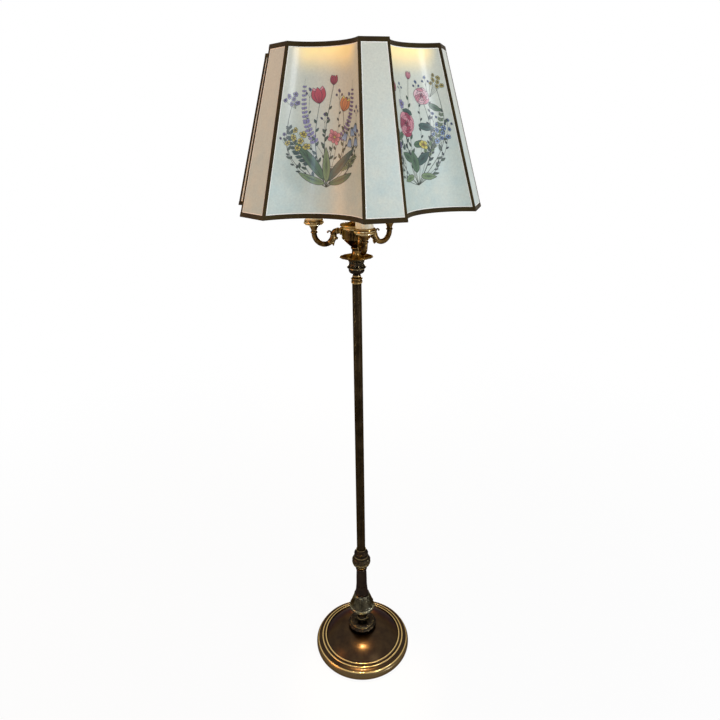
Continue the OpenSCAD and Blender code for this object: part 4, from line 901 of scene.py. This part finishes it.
# garden roses with forget-me-nots and a few violets
def roseBranch(sheet):
    root = (-2, -100)
    ends = [(-62, 18), (-62, -12), (-24, 74), (20, 78), (44, 24), (68, 12), (40, 86)]
    drawWisps(sheet, root, ends, "deepLeaf", "blue")
    drawSpray(sheet, (0, -66), (62, 34), -0.1, 20, 11, "paleLeaf", 0.9, 0.34)
    drawSpray(sheet, (-4, -58), (-64, 60), 0.12, 20, 8, "deepLeaf", 0.7, 0.4)
    drawStems(sheet, root, [
        ((-16, 4), 0.08, 5), ((28, 52), -0.14, 7), ((-44, 62), 0.2, 7), ((4, 84), 0.05, 8),
        ((50, -10), -0.2, 4), ((-52, -36), 0.22, 4), ((58, 74), -0.16, 6)], 10, "deepLeaf")
    drawLeaves(sheet, [(at, length, 0.44 * length, angle, ink, 0.06, 0.06) for at, length, angle, ink in (
        ((-8, -58), 32, 146, "leaf"), ((0, -64), 34, 34, "deepLeaf"), ((-28, -10), 27, 196, "leaf"),
        ((2, 22), 26, 158, "deepLeaf"), ((14, 4), 30, -16, "deepLeaf"), ((40, 40), 24, -34, "leaf"),
        ((-2, -30), 28, 4, "leaf"), ((-10, -84), 26, 190, "paleLeaf"), ((6, -84), 28, -10, "paleLeaf"),
        ((-2, -78), 40, 96, "leaf"))])
    drawHead(sheet, (52, -10), 18, 9, 5.6, "blue", (34, -40))
    drawHead(sheet, (-52, -38), 15, 5, 7.5, "violet", (-30, -62))
    drawHead(sheet, (60, 78), 13, 7, 5, "yellow", (44, 52))
    drawRose(sheet, (-16, 6), 21, "crimson", "pink", 0.3)
    drawRose(sheet, (28, 54), 15, "pink", "pale", 0.9)
    drawTulip(sheet, (-44, 60), 17, radians(114), "crimson", "pink")
    drawTulip(sheet, (4, 82), 15, radians(84), "pink", "pale")
    drawBlossom(sheet, (-24, 40), 10, 6, "lavender", turn=0.2)
    drawBlossom(sheet, (18, -30), 10, 5, "yellow", "orange", 0.5, 0.8)


# poppies and cornflowers with ears of corn
def poppySheaf(sheet):
    root = (0, -100)
    ends = [(-66, 28), (-64, -22), (-24, 60), (30, 64), (44, 22), (68, 20), (-40, 20)]
    drawWisps(sheet, root, ends, "paleLeaf", "pink")
    for end, bend in (((44, 90), -0.1), ((62, 62), -0.16), ((24, 96), -0.04), ((-34, 92), 0.1)):
        drawSpray(sheet, (2, -70), end, bend, 26, 7, "yellow", 0.3, 0.36, 0.5)
    drawStems(sheet, root, [
        ((16, 32), -0.06, 6), ((-40, 52), 0.12, 7), ((-56, 2), 0.18, 5), ((50, -8), -0.16, 5),
        ((-12, 80), 0.05, 8), ((-10, -8), 0.05, 4)], 9, "paleLeaf")
    drawLeaves(sheet, [
        ((-2, -76), 74, 14.8, 122, "leaf", 0.14), ((2, -80), 66, 13.2, 46, "deepLeaf", -0.16),
        ((-2, -88), 46, 9.2, 170, "paleLeaf", -0.18), ((4, -88), 50, 10, 8, "leaf", 0.18),
        ((-4, -56), 56, 11.2, 98, "paleLeaf", 0.05)])
    for i, (at, size) in enumerate((((-40, 54), 15), ((-56, 4), 14), ((-12, 82), 11))):
        drawBlossom(sheet, at, size, 12, "blue", "violet", 0.4 * i, 0.34, 0.8, 0.2)
    drawHead(sheet, (52, -12), 17, 7, 7, "lavender", (30, -44), 4)
    drawBlossom(sheet, (16, 34), 24, 5, "orange", "deepLeaf", 0.5, 0.95, 0.72, 0.04)
    drawBlossom(sheet, (-10, -8), 18, 5, "red", "deepLeaf", 1.1, 0.95, 0.72, 0.04)
    drawHead(sheet, (-32, -36), 12, 6, 4.5, "red", (-10, -62))


# the flat print becomes a mesh cut along the columns of the paper that it is laid on, to follow each facet
def cutToColumns(sheet):
    mesh = bpy.data.meshes.new("flatPrint")
    mesh.from_pydata(sheet["points"], [], sheet["faces"])
    ink = mesh.color_attributes.new("ink", "FLOAT_COLOR", "POINT")
    ink.data.foreach_set("color", [value for colour in sheet["colours"] for value in colour])
    cut = bmesh.new()
    cut.from_mesh(mesh)
    reach = ceil(max(abs(x) for x, y, depth in sheet["points"]) / columnWidth)
    for i in range(-reach, reach + 1):
        everything = cut.verts[:] + cut.edges[:] + cut.faces[:]
        bmesh.ops.bisect_plane(cut, geom=everything, plane_co=(i * columnWidth, 0, 0), plane_no=(1, 0, 0))
    cut.normal_update()
    # every facet looks up before it is laid
    bmesh.ops.reverse_faces(cut, faces=[face for face in cut.faces if face.normal.z < 0])
    cut.to_mesh(mesh)
    cut.free()
    return mesh


printMiddle = (shadeLow + shadeHigh) / 2 + 0.004
columnWidth = 2 * paperHalf(printMiddle) * arcRadius(printMiddle) / mm / shadeSet["across"]


def onPaper(k, x, y, depth):
    z = printMiddle + mm * y
    column, share = divmod(x / columnWidth, 1)
    out = inkSet["rise"] + depth * inkSet["layer"]
    left, right = (onHollow(k, z, paperHalf(z) * 2 * (column + i) / shadeSet["across"], out) for i in (0, 1))
    return left.lerp(right, share)


def drawnPrint(draw):
    sheet = blankSheet()
    draw(sheet)
    return cutToColumns(sheet)


prints = [drawnPrint(draw) for draw in (roseBranch, poppySheaf, tulipSpray)]
for k in range(6):
    mesh = prints[k % 3].copy()
    mesh.name = f"printedSpray{k + 1}"
    for vertex in mesh.vertices:
        vertex.co = onPaper(k, *vertex.co)
    if sum(face.area * face.normal.xy.dot(face.center.xy) for face in mesh.polygons) < 0:
        mesh.flip_normals()
    piece = bpy.data.objects.new(mesh.name, mesh)
    scene.collection.objects.link(piece)
    fitPiece(piece, "shade", printedParchment, "parchment")
for mesh in prints:
    bpy.data.meshes.remove(mesh)
print("flowers printed on six panels")


# turned brass: a section in millimetres carried round the axis on a grid, leaves and lobes raised on its face
def smoothLine(points, steps):
    line = []
    padded = [points[0], *points, points[-1]]
    for before, start, end, after in zip(padded, padded[1:], padded[2:], padded[3:]):
        for t in (j / steps for j in range(steps)):
            line.append(tuple(
                b + t / 2 * (c - a + t * (2 * a - 5 * b + 4 * c - d + t * (3 * b - a - 3 * c + d)))
                for a, b, c, d in zip(before, start, end, after)))
    return line + [points[-1]]


# a point of a round piece: radius and height in millimetres over a foot in metres
def roundPlace(r, angle, foot, z):
    return Vector((mm * r * cos(angle), mm * r * sin(angle), foot + mm * z))


# where a point lies in a row of leaves or lobes: its share from foot to tip, and from -1 to 1 across one
def inRow(angle, share, row):
    across = 2 * ((angle / (2 * pi) * row["count"] + row.get("turn", 0.0)) % 1) - 1
    return (share - row["foot"]) / (row["tip"] - row["foot"]), across


# one row of acanthus leaves: a midrib, side veins, lobed edges and a tip that lifts
def leafRow(angle, share, row):
    v, u = inRow(angle, share, row)
    if not 0 < v < 1:
        return 0.0
    half = row["width"] * sqrt(1 - v ** 3) * (1 - 0.2 * abs(sin(3.5 * pi * v)))
    s = abs(u) / half
    if s >= 1:
        return 0.0
    rib = exp(-(u / 0.1) ** 2)
    veins = 0.5 + 0.5 * cos(2 * pi * (4.5 * v - 1.5 * s))
    return row["height"] * (1 - s ** 6) * min(1, 5 * v) * (0.5 + 0.3 * rib + 0.24 * veins * s + 0.45 * v ** 4)


# rounded lobes side by side, as on a knop or a gadrooned bowl
def lobeRow(angle, share, row):
    v, u = inRow(angle, share, row)
    return row["height"] * (1 - abs(u) ** 2.6) * sin(pi * v) ** 0.5 if 0 < v < 1 else 0.0


def turnBrass(node, look):
    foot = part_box(node)[0].z
    face = smoothLine(look["face"], look["steps"])
    section = face + look["back"] + face[:1]
    lengths = [0.0]
    for p, q in zip(face, face[1:]):
        lengths.append(lengths[-1] + dist(p, q))

    def rule(across, up):
        i = round(up * (len(section) - 1))
        r, z = section[i]
        angle = 2 * pi * across
        if i < len(face):
            share = lengths[i] / lengths[-1]
            (aheadR, aheadZ), (behindR, behindZ) = face[min(i + 1, len(face) - 1)], face[max(i - 1, 0)]
            lift = max([leafRow(angle, share, row) for row in look.get("leaves", [])]
                       + [lobeRow(angle, share, row) for row in look.get("lobes", [])] + [0.0])
            lift /= hypot(aheadR - behindR, aheadZ - behindZ) or 1
            r, z = r + lift * (aheadZ - behindZ), z - lift * (aheadR - behindR)
        return roundPlace(r, angle, foot, z)

    piece = laySheet(look["name"], look["around"], len(section) - 1, rule, closed=True)
    fitPiece(piece, "lamp", finish[look["finish"]], "antique_brass", node)


turnedLooks = {
    # spun base: a rolled edge, two bead lines, a low dome
    "base_shell": {
        "name": "spunBase", "around": 160, "steps": 7, "finish": "spunBrassBrown",
        "face": [
            (113.6, 1.1), (118, 0), (123.2, 1), (127.6, 3.9), (130.6, 8.6), (131.5, 14.5), (130.4, 20),
            (127.4, 24.1), (126.2, 25.2), (126.2, 25.2), (126.7, 26.2), (125.7, 27.3), (124.2, 26.9),
            (124.2, 26.9), (119.6, 29.2), (116.4, 30.2), (116, 30.4), (116, 30.4), (115.6, 31.6),
            (113.9, 32.8), (111.7, 32.3), (111.2, 31.2), (111.2, 31.2), (109.2, 31.6), (107, 32.1),
            (107, 32.1), (106.7, 33.6), (104.9, 34.9), (102.7, 34.6), (102, 33.4), (102, 33.4), (95, 38.9),
            (86, 45.6), (76, 51.6), (65, 56.6), (54, 60), (44, 61.7), (32, 62.2), (20, 62.2)],
        "back": [
            (6.4, 62.2), (6.4, 60.6), (39, 60.5), (62, 55.6), (84, 44.4), (101, 31.6), (112, 28.9),
            (124, 24), (129.2, 18), (129.2, 9), (124, 3.2), (118, 1.8), (113.8, 2.8)]},
    # knop under the neck: a ring of lobed leaves, nearly black, with bright lights on every lobe
    "foot_collar": {
        "name": "leafKnop", "around": 224, "steps": 6, "finish": "castBrassDark",
        "face": [
            (26.4, 0), (28.4, 0.5), (32.6, 1.2), (35.9, 3.6), (37.9, 7), (37.9, 10.4), (36, 13.2),
            (34, 15.2), (32.6, 16.4), (32.6, 16.4), (33, 17.1), (32, 18)],
        "back": [(5, 18), (5, 0)],
        "leaves": [{"count": 14, "foot": 0.9, "tip": 0.1, "width": 0.98, "height": 2.0}],
        "lobes": [{"count": 14, "foot": 0.1, "tip": 0.86, "height": 1.5}]},
    # leafed dome and the long neck over it
    "neck_ball": {
        "name": "leafNeck", "around": 200, "steps": 6, "finish": "castBrassDark",
        "face": [
            (32, 0), (31.6, 1.5), (29.4, 3.6), (25.4, 5.6), (20.6, 7), (16.4, 7.6), (14.6, 7.9), (14.6, 7.9),
            (16, 9.2), (15.8, 10.8), (14.2, 11.8), (14.2, 11.8), (13, 14.5), (12.2, 21), (11.8, 28),
            (12.4, 36), (13.3, 44), (13.5, 50), (13.5, 69.3)],
        "back": [(5, 69.3), (5, 0)],
        "leaves": [{"count": 10, "foot": 0.24, "tip": 0.02, "width": 0.96, "height": 1.7},
                   {"count": 10, "foot": 0.24, "tip": 0.0, "width": 0.6, "height": 1.0, "turn": 0.5}]},
    # bell with two rows of hanging leaves between a bead rim and a ring
    "bell_cup": {
        "name": "leafBell", "around": 240, "steps": 7, "finish": "castBrassPale",
        "face": [
            (33.4, 0.3), (34.8, 0.1), (35.7, 1.6), (35.4, 3.6), (34, 4.5), (34, 4.5), (33.6, 5.6),
            (33.9, 6.5), (33.1, 7.3), (33.1, 7.3), (31.4, 10.4), (29.6, 14.2), (26.8, 22.2), (24, 30.3),
            (21.4, 37), (20.2, 40.2), (20.2, 40.2), (21.3, 41.2), (21.5, 42.8), (20.4, 44.3)],
        "back": [(13.6, 44.5), (5, 44.5), (5, 22.2), (16.5, 22.2), (16.5, 12), (20, 11.4), (33.2, 1)],
        "leaves": [{"count": 9, "foot": 0.96, "tip": 0.24, "width": 0.9, "height": 2.4},
                   {"count": 9, "foot": 0.86, "tip": 0.2, "width": 0.8, "height": 1.3, "turn": 0.5}]},
    # knob under the post: lobed band between two lines
    "main_knob": {
        "name": "lobedKnob", "around": 224, "steps": 6, "finish": "castBrassDark",
        "face": [
            (16.4, 0), (17.8, 0.8), (17.8, 0.8), (20.6, 3), (23, 6.6), (24.3, 10.6), (24.3, 10.6),
            (25.2, 11.4), (25.2, 12.8), (24.4, 13.6), (24.4, 13.6), (24.6, 17), (23.9, 20.6), (22, 24),
            (20, 26.4), (18.6, 27.4), (18.6, 27.4), (19.4, 28.6), (18.8, 30)],
        "back": [(5, 30), (5, 0)],
        "lobes": [{"count": 16, "foot": 0.08, "tip": 0.4, "height": 1.1}],
        "leaves": [{"count": 16, "foot": 0.86, "tip": 0.5, "width": 0.94, "height": 1.3}]},
    # baluster under the drip pan: a gadrooned bowl, a ring and a leafed neck
    "baluster": {
        "name": "gadroonBaluster", "around": 224, "steps": 6, "finish": "castBrassDark",
        "face": [
            (9.5, 0), (9.6, 2.4), (9.9, 4.2), (12.4, 5.8), (15.8, 8.6), (18, 12.4), (18.9, 16.6), (19, 18.4),
            (19, 18.4), (21.8, 19.4), (23.3, 21.6), (22.2, 23.8), (20, 24.8), (20, 24.8), (18.4, 27.2),
            (17.4, 30.8), (17.7, 34.2), (19.4, 36.8), (19.4, 36.8), (21, 38.4), (20.6, 40.4), (18.8, 41.6),
            (18.4, 42)],
        "back": [(5, 42), (5, 0)],
        "lobes": [{"count": 14, "foot": 0.12, "tip": 0.42, "height": 1.2}],
        "leaves": [{"count": 12, "foot": 0.62, "tip": 0.84, "width": 0.9, "height": 1.2}]},
}
for node, look in turnedLooks.items():
    turnBrass(node, look)


# drip pan: a thin pressed dish, its petals embossed through and its edge scalloped
panSet = {"petals": 16, "around": 256, "emboss": 0.9, "scallop": 0.9, "flat": 12, "edge": 38, "far": 41}
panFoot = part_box("drip_pan")[0].z
panSection = smoothLine([
    (5, 0), (12, 0), (20, 0.1), (26, 1.1), (31, 2.4), (35, 3.5), (38.2, 3.9), (40, 4),
    (40.8, 4.7), (40, 5.6), (38, 5.9), (35, 5.2), (31, 4.1), (26, 2.9), (20, 1.9), (12, 1.7),
    (5, 1.7)], 4)
panSection.append(panSection[0])


def panRule(across, up):
    r, z = panSection[round(up * (len(panSection) - 1))]
    angle = 2 * pi * across
    petal = 1 - abs(sin(panSet["petals"] * angle / 2)) ** 0.7
    reach = max(0.0, (r - panSet["flat"]) / (panSet["far"] - panSet["flat"]))
    z += panSet["emboss"] * (petal - 0.5) * reach * (1 if r < panSet["edge"] else 0.6)
    r -= panSet["scallop"] * petal * reach ** 6
    return roundPlace(r, angle, panFoot, z)


pan = laySheet("petalPan", panSet["around"], len(panSection) - 1, panRule, closed=True)
fitPiece(pan, "lamp", finish["pressedBrass"], "gilt_brass", "drip_pan")


# acanthus leaf on each arm: it wraps the limb next to the urn and its tip springs off below
armSet = {
    "bend": 25.5, "radius": 6.6, "reach": 109.0, "start": 178, "sweep": 50, "wrap": 84, "lift": 1.25,
    "spring": 4.4, "springFrom": 0.62, "springOver": 0.144, "wall": 0.0007,
    "turns": (-80, 40, 160), "across": 26, "along": 40,
}
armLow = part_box("arm_1")[0].z + mm * (armSet["bend"] + armSet["radius"])


def armLeafRule(across, run, turn):
    aside = 2 * across - 1
    side = aside * radians(armSet["wrap"]) * max(0.05, (1 - run ** 2.2) ** 0.5)
    side *= 1 - 0.22 * abs(sin(3.5 * pi * run))
    rib = exp(-(aside / 0.16) ** 2)
    vein = 0.5 + 0.5 * cos(2 * pi * (5 * run - 1.4 * abs(aside)))
    spring = armSet["spring"] * max(0.0, run - armSet["springFrom"]) ** 2 / armSet["springOver"]
    out = armSet["radius"] + armSet["lift"] + 0.7 * rib + 0.45 * vein * abs(aside) + spring
    theta = radians(armSet["start"] + armSet["sweep"] * run)
    spread = armSet["bend"] + out * cos(side)
    radial = armSet["reach"] - armSet["bend"] + spread * cos(theta)
    x, y = turned((radial, out * sin(side)), turn)
    return Vector((mm * x, mm * y, armLow + mm * (spread * sin(theta))))


for i, azimuth in enumerate(armSet["turns"]):
    turn = radians(azimuth)
    leaf = laySheet(f"armLeaf{i + 1}", armSet["across"], armSet["along"],
                    lambda across, up: armLeafRule(across, up, turn), armSet["wall"])
    fitPiece(leaf, "lamp", finish["pressedBrass"], "antique_brass")
print("turned brass laid:", len(turnedLooks) + 1, "pieces")


def three(name):
    return [f"{name}_{i}" for i in (1, 2, 3)]


# solids that keep their own shape and take a finish
finishOf = {
    "spunBrassDark": ["pedestal_column"],
    "castBrassDark": ["knob_cap"],
    "castBrassWarm": [*three("arm"), "cluster_body", "riser", "top_collar", "turn_key", "switch_knob"],
    "castBrassBright": ["bead_collar", *three("candle_cup"), "cluster_cap", "socket_cap", "bowl_fitter"],
    "bronzedTube": ["post_tube"],
    "ivorySleeve": three("candle_sleeve"),
    "opalGlass": ["glass_bowl"],
    "frostedGlass": ["centre_bulb", *three("candle_bulb")],
    "glazedPorcelain": ["mogul_socket"],
    "zincSteel": ["threaded_pipe", "base_nut", "base_washer", "pipe_nut", "arm_nuts"],
    "castIron": ["base_weight"],
    "greenFelt": ["base_felt"],
    "bushingPlastic": ["cord_bushing"],
    "corkRing": ["bowl_cushion"],
    "brassedWire": ["shade_frame"],
    "lampCapBrass": ["centre_bulb_cap", *three("candle_bulb_cap")],
    "blackPlastic": ["candle_sockets", "cluster_switch"],
}
for name, parts in finishOf.items():
    for part in parts:
        paint(nodes[part], finish[name])
paint(nodes["flat_panels"], parchment)
print("finishes on")

scene.frame_set(1)
